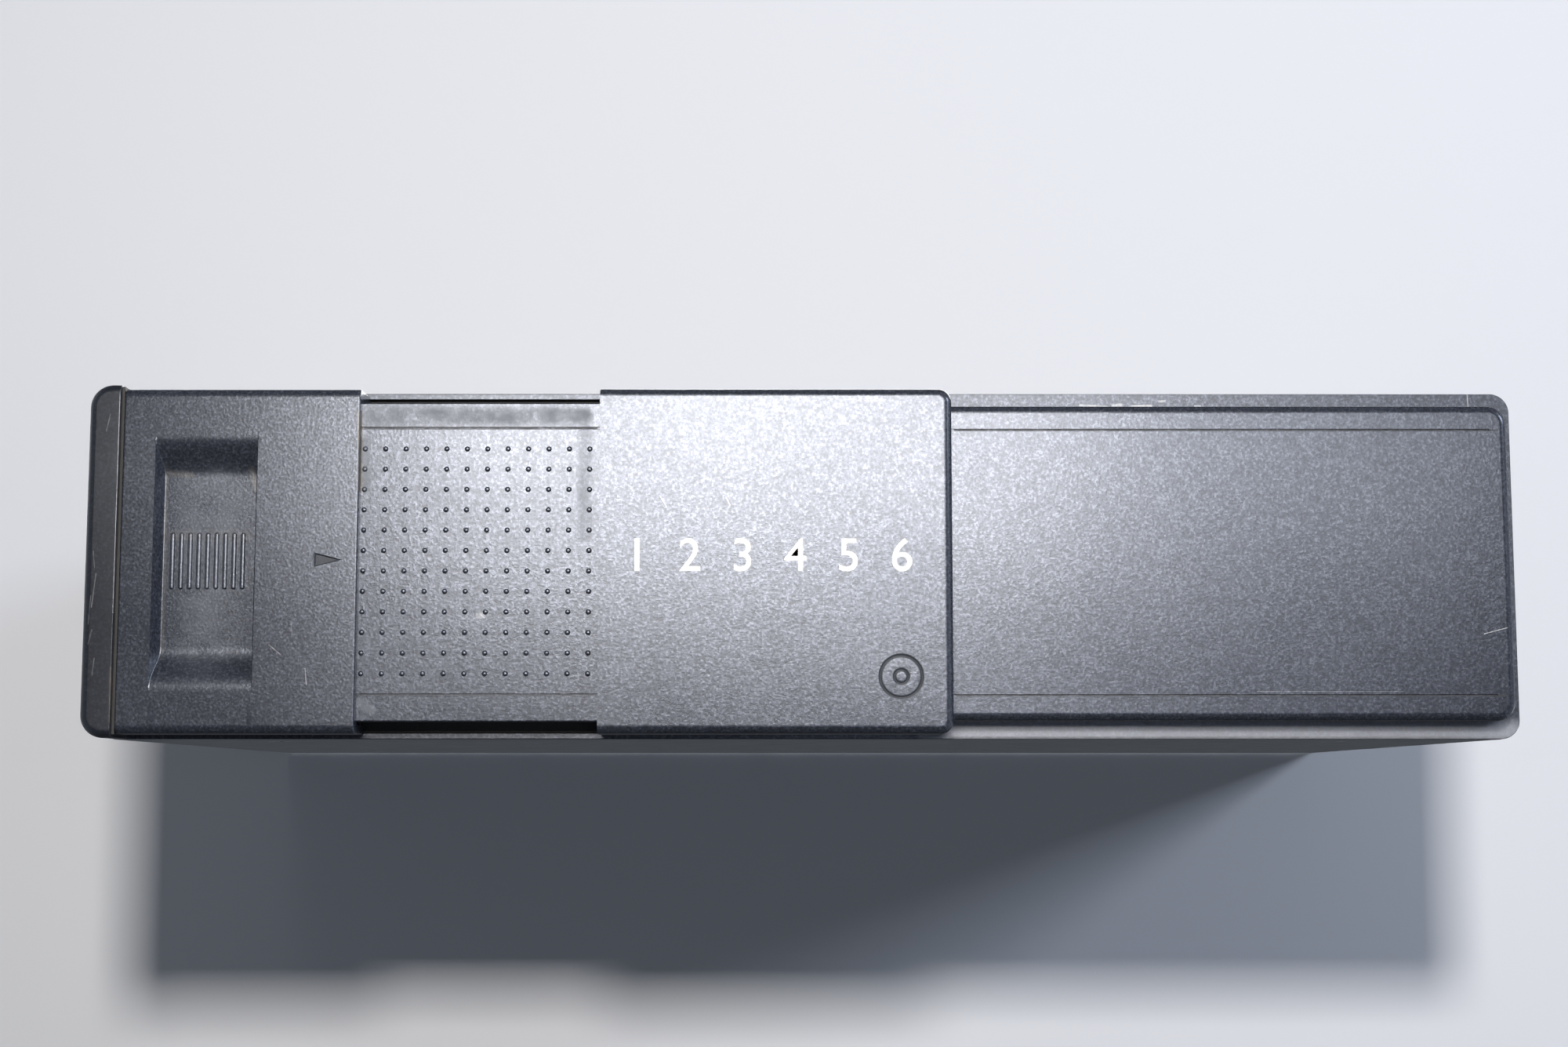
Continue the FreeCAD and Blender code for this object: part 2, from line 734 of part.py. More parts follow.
def door_leaf():
    """Inner sliding leaf: the thumb grip and the pip-covered plate beside it."""
    body = slider_shell(grip_left, grip_right, grip_front)
    soften(body, s.cover_round, lambda edge: near(edge.BoundBox.YMax, grip_front)
           and runs_along(edge, "x"))
    hollow_slider(body, grip_left - 1.0, grip_right + 1.0, leaf_back)
    left = grip_left + s.recess_left
    right = left + s.recess_width
    low = cover_bottom + s.recess_margin
    high = cover_top - s.recess_margin
    floor = grip_front + s.recess_depth
    scoop = [(grip_front - 0.1, low), (floor, low + s.recess_ramp),
             (floor, high - s.recess_ramp), (grip_front - 0.1, high)]
    pocket(body, "YZ", left, right, scoop)
    leaf_low = bar_bottom + s.end_clear
    leaf_high = bar_top - s.end_clear
    pad(body, "XZ", leaf_front, leaf_back, rectangle(grip_right - 1.0, leaf_right, leaf_low, leaf_high))
    tip = grip_right - s.arrow_inset
    pad(body, "XZ", grip_front - s.arrow_rise, grip_front,
        [(tip - s.arrow_length, (top - s.arrow_height) / 2), (tip, top / 2),
         (tip - s.arrow_length, (top + s.arrow_height) / 2)])
    first = (left + right) / 2 - (s.rib_count - 1) * s.rib_pitch / 2
    for i in range(int(SIZES["rib_count"])):
        middle = first + i * s.rib_pitch
        pad(body, "XZ", floor - s.rib_height, floor,
            rectangle(middle - s.rib_width / 2, middle + s.rib_width / 2,
                      (top - s.rib_length) / 2, (top + s.rib_length) / 2))
    for middle in (s.line_inset, top - s.line_inset):
        pocket(body, "XZ", leaf_front - 1.0, leaf_front + s.line_depth,
               rectangle(grip_right, leaf_right + 1.0,
                         middle - s.line_width / 2, middle + s.line_width / 2))
    span_across = (s.pip_count - 1) * s.pip_pitch_across
    span_up = (s.pip_count - 1) * s.pip_pitch_up
    first_x = (grip_right + cover_left) / 2 - span_across / 2
    first_z = top / 2 - span_up / 2
    pips = []
    for column in range(int(SIZES["pip_count"])):
        for line in range(int(SIZES["pip_count"])):
            pips.append(rod("y", first_x + column * s.pip_pitch_across,
                            leaf_front - s.pip_height, first_z + line * s.pip_pitch_up,
                            s.pip_height + s.line_depth, s.pip_radius))
    return finish(fuse(body, *pips), "door_leaf")


def eject_button():
    """Push button beside the magazine, hidden while the door is shut."""
    half_w = s.button_width / 2
    half_h = s.button_height / 2
    cap = box(button_x - half_w, button_x + half_w, button_front,
              flange_back - 1.0, button_z - half_h, button_z + half_h)
    stem = box(button_x - 1.5, button_x + 1.5, flange_back - 1.0, flange_back + 0.5,
               button_z - 1.5, button_z + 1.5)
    return finish(fuse(cap, stem), "eject_button")


# --- magazine with its trays ---------------------------------------------------------

def magazine_shell():
    """Slide-in magazine: a box open towards the deck, with a ledge for every tray."""
    body = new_body()
    pad(body, "XY", magazine_bottom, magazine_top,
        rectangle(magazine_left, magazine_right, magazine_front, magazine_back))
    inner_left = magazine_left + s.magazine_wall
    inner_front = magazine_front + s.magazine_wall
    inner_back = magazine_back - s.magazine_wall
    pocket(body, "XY", bay_floor, magazine_top - s.magazine_roof,
           rectangle(inner_left, magazine_right + 1.0, inner_front, inner_back))
    for level in range(1, int(SIZES["tray_count"])):
        ledge_top = tray_bottom + level * s.tray_pitch - s.run_gap
        for low, high in ((inner_front, inner_front + s.rib_reach),
                          (inner_back - s.rib_reach, inner_back)):
            pad(body, "XY", ledge_top - s.rib_thick, ledge_top,
                rectangle(inner_left, magazine_right, low, high))
    grip_z = (magazine_bottom + magazine_top) / 2
    pocket(body, "XZ", magazine_front - 1.0, magazine_front + 0.8,
           rectangle(magazine_left + 45.0, magazine_left + 80.0, grip_z - 7.0, grip_z + 7.0))
    return finish(body, "magazine_shell")


def tray(level):
    """One disc tray, open towards the deck for the turntable and the pickup."""
    rise = level * s.tray_pitch
    body = new_body()
    pad(body, "XY", tray_bottom + rise, tray_top + rise,
        rectangle(tray_left, tray_right, tray_front, tray_back))
    doc.recompute()
    place(body, 0.0, 0.0, 0.0)
    well = rod("z", disc_x, disc_y, disc_level + rise, s.tray_lip + 1.0,
               s.disc_radius + s.slide_gap)
    through = s.tray_plate + s.tray_lip + 2.0
    low = tray_bottom + rise - 1.0
    high = low + through
    eye = rod("z", disc_x, disc_y, low, through, s.tray_eye)
    lane = box(disc_x, tray_right + 1.0, disc_y - s.tray_slot / 2,
               disc_y + s.tray_slot / 2, low, high)
    window = box(disc_x - 12.0, disc_x + 12.0, disc_y, disc_y + s.disc_radius, low, high)
    notch = box(hook_x - 0.2, hook_x + s.notch_width - 0.2, tray_back - s.notch_depth,
                tray_back + 1.0, low, high)
    return finish(cut(body, well, eye, lane, window, notch), f"tray_{level + 1}")


def disc(level):
    """A 120 mm disc that lies in its tray."""
    z = disc_level + level * s.tray_pitch
    plate = rod("z", disc_x, disc_y, z, s.disc_thick, s.disc_radius)
    hole = rod("z", disc_x, disc_y, z - 1.0, s.disc_thick + 2.0, s.disc_hole)
    return finish(cut(plate, hole), f"disc_{level + 1}")


# --- floating frame on its dampers ---------------------------------------------------

damper_places = [(frame_left + 10.5, frame_back + s.damper_back),
                 (deck_right - 19.8, frame_back + s.damper_back),
                 (frame_left + 14.5, frame_front + 10.0), (step_left - 9.0, frame_front + 10.0)]


def floating_frame():
    """Inner frame: a two-level floor, three walls, rear ears and four damper pins."""
    upper = box(frame_left, step_right, frame_front, frame_back, s.upper_floor, floor_top)
    lower = box(step_left, frame_right, frame_front, frame_back, s.lower_floor,
                s.lower_floor + s.sheet)
    step = box(step_left, step_right, frame_front, frame_back, s.lower_floor, floor_top)
    left = box(frame_left, frame_left + s.sheet, frame_front, frame_back,
               s.upper_floor, frame_top)
    right = box(wall_right, frame_right, frame_front, frame_back, s.lower_floor, frame_top)
    rear_left = box(frame_left, step_right, frame_back - s.sheet, frame_back,
                    s.upper_floor, frame_top)
    rear_right = box(step_left, deck_right - s.bush_gap, frame_back - s.sheet, frame_back,
                     s.lower_floor, frame_top)
    ears = [box(x - 9.0, x + 9.0, frame_back - s.sheet, y + 6.0, s.upper_floor, floor_top)
            for x, y in damper_places[:2]]
    pins = [rod("z", x, y, s.upper_floor - s.damper_pin_length, s.damper_pin_length,
                s.damper_pin) for x, y in damper_places]
    post_holes = [rod("z", x, post_y, s.lower_floor - 1.0, s.sheet + 2.0, s.post_radius)
                  for x in post_xs]
    body = fuse(upper, lower, step, left, right, rear_left, rear_right, *ears, *pins)
    return finish(cut(body, *post_holes), "floating_frame")


def damper_boots():
    """Four oil-filled rubber cups on the case floor that hold the frame's pins."""
    cups = []
    for x, y in damper_places:
        cup = rod("z", x, y, s.sheet, s.damper_height, s.damper_radius)
        well = rod("z", x, y, s.sheet + 1.4, s.damper_height, s.damper_bore)
        cups.append(cut(cup, well))
    return finish(group(*cups), "damper_boots")


def coil_spring(radius, height, turns):
    """Solid coil of the common spring wire about the Z axis, from z = 0 up."""
    wire = s.spring_wire.value
    steps = int(turns * COIL_STEPS)
    points = []
    for i in range(steps + 1):
        angle = 2 * math.pi * turns * i / steps
        points.append(FreeCAD.Vector(radius * math.cos(angle), radius * math.sin(angle),
                                     wire + (height - 2 * wire) * i / steps))
    line = Part.BSplineCurve()
    line.interpolate(points)
    heading = line.tangent(line.FirstParameter)[0]
    section = Part.Wire(Part.makeCircle(wire, points[0], heading))
    return Part.Wire(line.toShape()).makePipeShell([section], True, True)


COIL_STEPS = 16


def suspension_springs():
    """Four coil springs round the cups that carry the floating frame."""
    height = (s.upper_floor - s.sheet - 0.1).value
    coils = []
    for x, y in damper_places:
        coil = coil_spring(s.spring_radius.value, height, s.spring_turns.value)
        coil.translate(FreeCAD.Vector(x.value, y.value, (s.sheet + 0.05).value))
        coils.append(coil)
    piece = doc.addObject("Part::Feature", "springs")
    piece.Shape = Part.makeCompound(coils)
    piece.Placement = FreeCAD.Placement()
    return finish(piece, "suspension_springs")


def bay_roof():
    """Steel roof over the magazine with two pressed leaf springs."""
    plate = box(frame_left, step_right, frame_front, frame_back, frame_top, frame_top + s.sheet)
    slits = []
    middle = (frame_front + frame_back) / 2
    for x in (magazine_left + 30.0, magazine_left + 90.0):
        for side in (-1, 1):
            edge = x + side * 6.0
            slits.append(box(edge - 0.6, edge + 0.6, middle - 25.0, middle + 25.0,
                             frame_top - 1.0, frame_top + 2.0))
        slits.append(box(x - 6.0, x + 6.0, middle + 24.0, middle + 25.2,
                         frame_top - 1.0, frame_top + 2.0))
    return finish(cut(plate, *slits), "bay_roof")


def guide_posts():
    """Two upright posts that the deck rises on."""
    length = frame_top - s.lower_floor
    posts = [rod("z", x, post_y, s.lower_floor, length, s.post_radius) for x in post_xs]
    return finish(group(*posts), "guide_posts")


pusher_x = (magazine_left + magazine_right) / 2
pusher_front = magazine_back + s.run_gap


def eject_pusher():
    """Spring-loaded plate behind the magazine."""
    plate = box(pusher_x - 20.0, pusher_x + 20.0, pusher_front, pusher_front + 1.5,
                magazine_bottom + 6.0, magazine_bottom + 26.0)
    foot = box(pusher_x - 6.0, pusher_x + 6.0, pusher_front, pusher_front + 5.0,
               magazine_bottom, magazine_bottom + 6.0)
    return finish(fuse(plate, foot), "eject_pusher")


def pusher_spring():
    """Coil spring between the pusher and the rear wall of the frame."""
    start = (pusher_front + 1.55).value
    length = (frame_back - s.sheet).value - 0.05 - start
    coil = coil_spring(3.2, length, 3.0)
    coil.rotate(FreeCAD.Vector(), FreeCAD.Vector(1, 0, 0), -90)
    coil.translate(FreeCAD.Vector(pusher_x.value, start, (magazine_bottom + 16.0).value))
    piece = doc.addObject("Part::Feature", "spring")
    piece.Shape = Part.makeCompound([coil])
    piece.Placement = FreeCAD.Placement()
    return finish(piece, "pusher_spring")


# --- play deck -----------------------------------------------------------------------

hook_x = magazine_right + 1.0
hook_width = s.notch_width - 0.4
runner_front = magazine_back + s.run_gap * 2
runner_back = runner_front + 1.4
runner_top = deck_bottom - s.bush_gap * 2
runner_bottom = runner_top - 0.6
finger_front = tray_back - s.notch_depth + s.slide_gap
guide_top = deck_top + s.guide_height
bridge_x = spin_x + s.clamp_reach
bridge_top = guide_top + 0.8
hinge_z = bridge_top + 1.2
pin_xs = (deck_left + 3.0, deck_left + 3.0, spin_x + 33.0)
pin_ys = (disc_y - 10.6, disc_y + 44.4, disc_y + 24.4)


def deck_frame():
    """Lifting deck: a ring plate with tray guides, cam pins, guide lugs and clamp bridge."""
    ring = box(deck_left, deck_right, deck_front, deck_back, deck_bottom, deck_top)
    window_left = deck_left + s.deck_bar - 0.5
    window_right = deck_right - s.deck_bar - 0.8
    bar_x = spin_x + 30.0
    low_y = deck_front + 6.1
    high_y = deck_back - 6.6
    windows = [box(window_left, bar_x, low_y, high_y, deck_bottom - 1.0, deck_top + 1.0),
               box(bar_x + 6.0, window_right, low_y, high_y, deck_bottom - 1.0, deck_top + 1.0)]
    hook_slot = box(deck_left - 1.0, deck_right - 1.3, finger_front - s.slide_gap,
                    guide_back - s.bush_gap, deck_bottom - 1.0, deck_top + 1.0)
    lens_gap = box(spin_x - 5.0, spin_x + 5.0, high_y - 1.0, finger_front,
                   deck_bottom - 1.0, deck_top + 1.0)
    plate = cut(ring, *windows, hook_slot, lens_gap)
    front_guide = box(deck_left, deck_right, deck_front, guide_front, deck_bottom, guide_top)
    front_lip = box(deck_left, deck_right, deck_front, guide_front + 1.8,
                    guide_top - 0.8, guide_top)
    rear_guide = box(deck_left, deck_right, guide_back, deck_back, deck_bottom, guide_top)
    tongue = box(hook_x - 8.0, deck_left + 1.0, runner_front - s.bush_gap, runner_back,
                 deck_bottom, deck_top)
    tongue_root = box(deck_left, deck_left + 14.0, guide_back, runner_back, deck_bottom, deck_top)
    bridge = box(bridge_x - 3.0, bridge_x + 3.0, deck_front, deck_back, guide_top, bridge_top)
    half_pin = s.clamp_pin_length / 2
    ears = [box(bridge_x - 1.5, bridge_x + 1.5, y, y + s.clamp_ear, bridge_top, hinge_z + 0.9)
            for y in (disc_y - half_pin, disc_y + half_pin - s.clamp_ear)]
    ear_holes = rod("y", bridge_x, disc_y - half_pin - 1.0, hinge_z,
                    s.clamp_pin_length + 2.0, s.hinge_pin)
    lugs = [box(x - 4.0, x + 4.0, deck_back - 0.5, post_y + 2.8, deck_bottom, guide_top)
            for x in post_xs]
    bores = [rod("z", x, post_y, deck_bottom - 1.0, s.guide_height + 4.0,
                 s.post_radius + s.bush_gap / 2) for x in post_xs]
    skirt = box(deck_right - 1.2, deck_right, cam_pin_front - 6.0,
                cam_pin_rear + 6.0, s.cam_pin_height - 2.5, deck_top)
    cam_pins = [rod("x", deck_right - 1.0, y, s.cam_pin_height,
                    s.cam_thick + s.cam_gap + 1.1, s.cam_pin)
                for y in (cam_pin_front, cam_pin_rear)]
    drop = deck_bottom - s.traverse_level + 0.6
    pins = [rod("z", x, y, deck_bottom - drop, drop + 0.5, s.traverse_pin)
            for x, y in zip(pin_xs, pin_ys)]
    solid = fuse(plate, front_guide, front_lip, rear_guide, tongue, tongue_root,
                 bridge, *ears, *lugs, skirt, *cam_pins, *pins)
    return finish(cut(solid, ear_holes, *bores), "deck_frame")


def tray_hook():
    """Runner under the deck whose finger draws a tray out of the magazine."""
    runner = box(hook_x - 7.0, hook_x + hook_width, runner_front, runner_back,
                 runner_bottom, runner_top)
    arm = box(hook_x, hook_x + hook_width, finger_front, runner_back, runner_bottom, runner_top)
    finger = box(hook_x, hook_x + hook_width, finger_front, finger_front + 1.0,
                 runner_bottom, tray_top - 0.2)
    return finish(fuse(runner, arm, finger), "tray_hook")


def involute(base, angle):
    """Point on an involute of a base circle."""
    return (base * (math.cos(angle) + angle * math.sin(angle)),
            base * (math.sin(angle) - angle * math.cos(angle)))


def gear_solid(teeth, module, low, high, x, y, phase):
    """Spur gear about an upright axis, with a tooth centred on the phase angle."""
    pitch = teeth * module / 2
    base = pitch * math.cos(PRESSURE)
    outer = pitch + module * 0.95
    root = pitch - module * 1.2
    spread = math.tan(PRESSURE) - PRESSURE
    half_tooth = math.pi / (2 * teeth) - s.backlash.value / (2 * pitch)
    last = math.sqrt((outer / base) ** 2 - 1)
    flank = []
    for step in range(FLANK_STEPS + 1):
        u, v = involute(base, last * step / FLANK_STEPS)
        flank.append((math.hypot(u, v), math.atan2(v, u) - spread - half_tooth))
    flank = [(max(base, root), flank[0][1])] + flank[1:]
    points = []
    for tooth in range(teeth):
        centre = phase + 2 * math.pi * tooth / teeth
        sides = [(min(root, base), flank[0][1])] + flank
        for radius, angle in sides:
            points.append((radius, centre + angle))
        for radius, angle in reversed(sides):
            points.append((radius, centre - angle))
    corners = [FreeCAD.Vector(x + radius * math.cos(angle), y + radius * math.sin(angle), low)
               for radius, angle in points]
    face = Part.Face(Part.makePolygon(corners + corners[:1]))
    return face.extrude(FreeCAD.Vector(0, 0, high - low))


PRESSURE = math.radians(20)
FLANK_STEPS = 4


def rack_teeth(module, x, contact_y, first, last, depth, low, high):
    """Rack that faces -X, with a gap centred on the contact point."""
    pitch = math.pi * module
    slope = math.tan(PRESSURE)
    tip = x - module * 0.95
    foot = x + module * 1.2
    half_tooth = pitch / 4 - s.backlash.value / 2
    count_low = math.ceil((first - contact_y) / pitch + 0.5)
    count_high = math.floor((last - contact_y) / pitch - 0.5)
    outline_points = [(foot + depth, first), (foot, first)]
    for i in range(count_low, count_high):
        middle = contact_y + (i + 0.5) * pitch
        outline_points += [(foot, middle - half_tooth - (foot - x) * slope),
                           (tip, middle - half_tooth + (x - tip) * slope),
                           (tip, middle + half_tooth - (x - tip) * slope),
                           (foot, middle + half_tooth + (foot - x) * slope)]
    outline_points += [(foot, last), (foot + depth, last)]
    corners = [FreeCAD.Vector(u, v, low) for u, v in outline_points]
    face = Part.Face(Part.makePolygon(corners + corners[:1]))
    return face.extrude(FreeCAD.Vector(0, 0, high - low))


def plain_feature(shape, label):
    """A sub-part from a worked-out shape, such as teeth."""
    piece = doc.addObject("Part::Feature", "shape")
    piece.Shape = shape
    piece.Placement = FreeCAD.Placement()
    return finish(piece, label)


lift_small = s.gear_module * s.lift_pinion_teeth / 2
lift_big = s.gear_module * s.lift_gear_teeth / 2
lift_motor_pitch = s.gear_module * s.lift_motor_teeth / 2
lift_x = deck_right - s.lift_axis_gap
rack_x = lift_x + lift_small
lift_centres = lift_big + lift_motor_pitch
motor_x = lift_x - (lift_centres * lift_centres
                    - s.lift_motor_offset * s.lift_motor_offset).root()
motor_y = lift_axis_y - s.lift_motor_offset
motor_angle = math.atan2((motor_y - lift_axis_y).value, (motor_x - lift_x).value)
lift_floor = s.lower_floor + s.sheet
rack_low = lift_floor + 0.8
rack_high = rack_low + 1.2
motor_top = lift_floor + s.lift_motor_height


def cam_plate():
    """Sliding plate beside the deck: two sloping slots raise the deck, a rack drives it."""
    y_low = cam_pin_front - s.cam_run - s.cam_margin
    y_high = cam_pin_rear + s.cam_margin
    z_high = s.cam_pin_height + lift_travel + s.cam_margin - 1.0
    body = new_body()
    pad(body, "YZ", cam_inner, cam_outer, rectangle(y_low, y_high, rack_low, z_high))
    slope = lift_travel / s.cam_run
    half_slot = (s.cam_pin + s.bush_gap) * (1 + slope * slope).root()
    over = s.cam_pin + 0.6
    for start in (cam_pin_front, cam_pin_rear):
        low_z = s.cam_pin_height - over * slope
        high_z = s.cam_pin_height + (s.cam_run + over) * slope
        near_y = start + over
        far_y = start - s.cam_run - over
        pocket(body, "YZ", cam_inner - 1.0, cam_outer + 1.0,
               [(near_y, low_z - half_slot), (near_y, low_z + half_slot),
                (far_y, high_z + half_slot), (far_y, high_z - half_slot)])
    doc.recompute()
    module = s.gear_module.value
    contact = lift_axis_y.value
    teeth = rack_teeth(module, rack_x.value, contact, contact - s.cam_run.value - 2.5 * module,
                       contact + 2.5 * module, 3.0, rack_low.value, rack_high.value)
    comb = doc.addObject("Part::Feature", "comb")
    comb.Shape = teeth
    shelf = box(rack_x + s.gear_module * 1.2 + 1.0, cam_inner + 0.5,
                lift_axis_y - s.cam_run - 2.5 * s.gear_module,
                lift_axis_y + 2.5 * s.gear_module, rack_low, rack_high)
    return finish(fuse(body, comb, shelf), "cam_plate")


def lift_gear():
    """Double gear of the lift: the small one meets the rack, the large one the motor."""
    x, y = lift_x.value, lift_axis_y.value
    small = gear_solid(int(SIZES["lift_pinion_teeth"]), s.gear_module.value,
                       (rack_low - 0.2).value, (motor_top + 0.4).value, x, y, 0.0)
    big = gear_solid(int(SIZES["lift_gear_teeth"]), s.gear_module.value,
                     (motor_top + 0.4).value, (motor_top + 1.4).value, x, y, motor_angle)
    bore = Part.makeCylinder(1.05, 20.0, FreeCAD.Vector(x, y, 0))
    return plain_feature(small.fuse(big).cut(bore), "lift_gear")


def lift_motor():
    """Flat motor of the lift."""
    can = rod("z", motor_x, motor_y, lift_floor, s.lift_motor_height, s.lift_motor_radius)
    return finish(can, "lift_motor")


def lift_shaft():
    """Stub shaft of the double gear."""
    return finish(rod("z", lift_x, lift_axis_y, lift_floor, motor_top + 2.0 - lift_floor, 1.0),
                  "lift_shaft")


def lift_motor_pinion():
    """Pinion on the lift motor."""
    teeth = int(SIZES["lift_motor_teeth"])
    phase = motor_angle + math.pi + math.pi / teeth
    shape = gear_solid(teeth, s.gear_module.value, (motor_top + 0.2).value,
                       (motor_top + 1.6).value, motor_x.value, motor_y.value, phase)
    return plain_feature(shape, "lift_motor_pinion")


# --- traverse: spindle, pickup and sled drive ----------------------------------------

plate_top = s.traverse_level + s.traverse_plate
rod_z = plate_top + 1.6
rod_front = disc_y + s.spindle_flange + 0.8
rod_back = disc_y + s.pickup_start + s.pickup_length + s.pickup_travel + 0.5
sled_small = s.sled_module * s.sled_pinion_teeth / 2
sled_big = s.sled_module * s.sled_gear_teeth / 2
sled_motor_pitch = s.sled_module * s.sled_motor_teeth / 2
sled_rack_x = spin_x - s.pickup_width / 2 - 5.0
sled_x = sled_rack_x - sled_small
sled_motor_x = sled_x - sled_big - sled_motor_pitch
sled_low = plate_top + 0.6
sled_step = plate_top + 2.2
lens_low = s.turntable_face - 0.9


def traverse_plate():
    """Small sub-deck that carries the spindle and the sled, lifted under the disc."""
    left = deck_left + 1.0
    plate = box(left, pin_xs[2] + 4.0, disc_y - s.spindle_flange - 4.0, disc_y + 58.4,
                s.traverse_level, plate_top)
    tail = box(spin_x - 17.0, spin_x + 17.0, disc_y + 50.0, rod_back + 2.3,
               s.traverse_level, plate_top)
    holders = []
    for x in (spin_x - s.rod_spread, spin_x + s.rod_spread):
        for low, high in ((rod_front - 0.5, rod_front + 1.5), (rod_back, rod_back + 2.0)):
            holders.append(box(x - 2.2, x + 2.2, low, high, s.traverse_level, rod_z + 1.1))
    hole = rod("z", spin_x, disc_y, s.traverse_level - 1.0, 4.0, s.spindle_radius + s.bush_gap)
    motor_room = rod("z", motor_x, motor_y, s.traverse_level - 1.0, 4.0,
                     s.lift_motor_radius + s.end_clear)
    pin_holes = [rod("z", x, y, s.traverse_level - 1.0, 4.0, s.traverse_pin + s.bush_gap)
                 for x, y in zip(pin_xs, pin_ys)]
    rods_through = [rod("y", x, rod_front - 1.5, rod_z, rod_back - rod_front + 5.0, s.rod_radius)
                    for x in (spin_x - s.rod_spread, spin_x + s.rod_spread)]
    return finish(cut(fuse(plate, tail, *holders), hole, motor_room, *pin_holes,
                      *rods_through), "traverse_plate")


def guide_rods():
    """Two steel rods that the pickup slides on."""
    length = rod_back - rod_front + 2.5
    rods = [rod("y", x, rod_front - 0.5, rod_z, length, s.rod_radius)
            for x in (spin_x - s.rod_spread, spin_x + s.rod_spread)]
    return finish(group(*rods), "guide_rods")


def spindle_motor():
    """Flat spindle motor, hung by its flange in the traverse plate."""
    low = s.lower_floor + s.sheet + s.end_clear
    can = rod("z", spin_x, disc_y, low, s.turntable_face - 2.4 - low, s.spindle_radius)
    flange = rod("z", spin_x, disc_y, plate_top, 0.6, s.spindle_flange)
    return finish(fuse(can, flange), "spindle_motor")


def turntable():
    """Turntable with its centring cone."""
    low = s.turntable_face - 2.2
    profile = [(0.0, low), (4.0, low), (4.0, s.turntable_face - 1.4),
               (s.turntable_radius, s.turntable_face - 1.4),
               (s.turntable_radius, s.turntable_face), (s.cone_radius, s.turntable_face),
               (s.cone_radius - 0.9, s.turntable_face + s.cone_height),
               (0.0, s.turntable_face + s.cone_height)]
    return finish(turned(profile, spin_x, disc_y), "turntable")


def pickup_head():
    """Laser pickup on its two rods, with the rack that moves it."""
    low = plate_top + 0.4
    high = low + s.pickup_thick
    left = spin_x - s.pickup_width / 2
    start = disc_y + s.pickup_start
    body = box(left, left + s.pickup_width, start, start + s.pickup_length, low, high)
    tower = rod("z", spin_x, start + s.lens_setback, high - 0.5,
                lens_low - high + 0.5, s.lens_tower)
    module = s.sled_module.value
    contact = sled_axis_y.value
    strip_low = sled_low + 0.2
    strip_high = sled_step - 0.2
    teeth = rack_teeth(module, sled_rack_x.value, contact,
                       contact - s.pickup_travel.value - 2.5 * module,
                       contact + 2.5 * module, 1.6, strip_low.value, strip_high.value)
    comb = doc.addObject("Part::Feature", "comb")
    comb.Shape = teeth
    link = box(sled_rack_x + s.sled_module * 1.2 + 0.5, left + 1.0, start + 1.0,
               sled_axis_y + 2.5 * s.sled_module, strip_low, strip_high)
    bores = [rod("y", x, start - 1.0, rod_z, s.pickup_length + 2.0, s.rod_radius + 0.06)
             for x in (spin_x - s.rod_spread, spin_x + s.rod_spread)]
    return finish(cut(fuse(body, tower, comb, link), *bores), "pickup_head")


def pickup_lens():
    """Objective lens of the pickup."""
    start = disc_y + s.pickup_start
    return finish(rod("z", spin_x, start + s.lens_setback, lens_low, 0.2, 2.4), "pickup_lens")


def sled_gear():
    """Double gear between the sled motor and the rack of the pickup."""
    x, y = sled_x.value, sled_axis_y.value
    small = gear_solid(int(SIZES["sled_pinion_teeth"]), s.sled_module.value,
                       sled_low.value, sled_step.value, x, y, 0.0)
    big = gear_solid(int(SIZES["sled_gear_teeth"]), s.sled_module.value,
                     sled_step.value, (sled_step + 0.8).value, x, y, math.pi)
    bore = Part.makeCylinder(0.85, 20.0, FreeCAD.Vector(x, y, 0))
    return plain_feature(small.fuse(big).cut(bore), "sled_gear")


def sled_shaft():
    """Stub shaft of the sled gear."""
    return finish(rod("z", sled_x, sled_axis_y, plate_top, 3.4, 0.8), "sled_shaft")


def sled_motor():
    """Flat motor that moves the pickup."""
    return finish(rod("z", sled_motor_x, sled_axis_y, plate_top, 1.9, s.sled_motor_radius),
                  "sled_motor")


def sled_motor_pinion():
    """Pinion on the sled motor."""
    teeth = int(SIZES["sled_motor_teeth"])
    phase = math.pi / teeth
    shape = gear_solid(teeth, s.sled_module.value, (plate_top + 2.1).value,
                       (sled_step + 1.0).value, sled_motor_x.value, sled_axis_y.value, phase)
    return plain_feature(shape, "sled_motor_pinion")


# --- disc clamp ----------------------------------------------------------------------

puck_bottom = disc_level + s.disc_thick + s.puck_gap
arm_bottom = puck_bottom + 1.7
arm_top = arm_bottom + 0.8


def clamp_arm():
    """Sheet arm that lowers the clamp puck on to the disc."""
    ring = rod("z", spin_x, disc_y, arm_bottom, arm_top - arm_bottom, 7.0)
    bar = box(spin_x, bridge_x + 0.4, disc_y - 5.0, disc_y + 5.0, arm_bottom, arm_top)
    barrel = rod("y", bridge_x, disc_y - s.clamp_barrel / 2, hinge_z, s.clamp_barrel,
                 s.hinge_pin + s.hinge_wall)
    pin_bore = rod("y", bridge_x, disc_y - s.clamp_pin_length / 2, hinge_z,
                   s.clamp_pin_length, s.hinge_pin + s.bush_gap / 2)
    neck_hole = rod("z", spin_x, disc_y, arm_bottom - 1.0, 4.0, 4.0)
    return finish(cut(fuse(ring, bar, barrel), pin_bore, neck_hole), "clamp_arm")


def clamp_pin():
    """Hinge pin of the clamp arm, pressed into the ears of the deck."""
    return finish(rod("y", bridge_x, disc_y - s.clamp_pin_length / 2, hinge_z,
                      s.clamp_pin_length, s.hinge_pin), "clamp_pin")


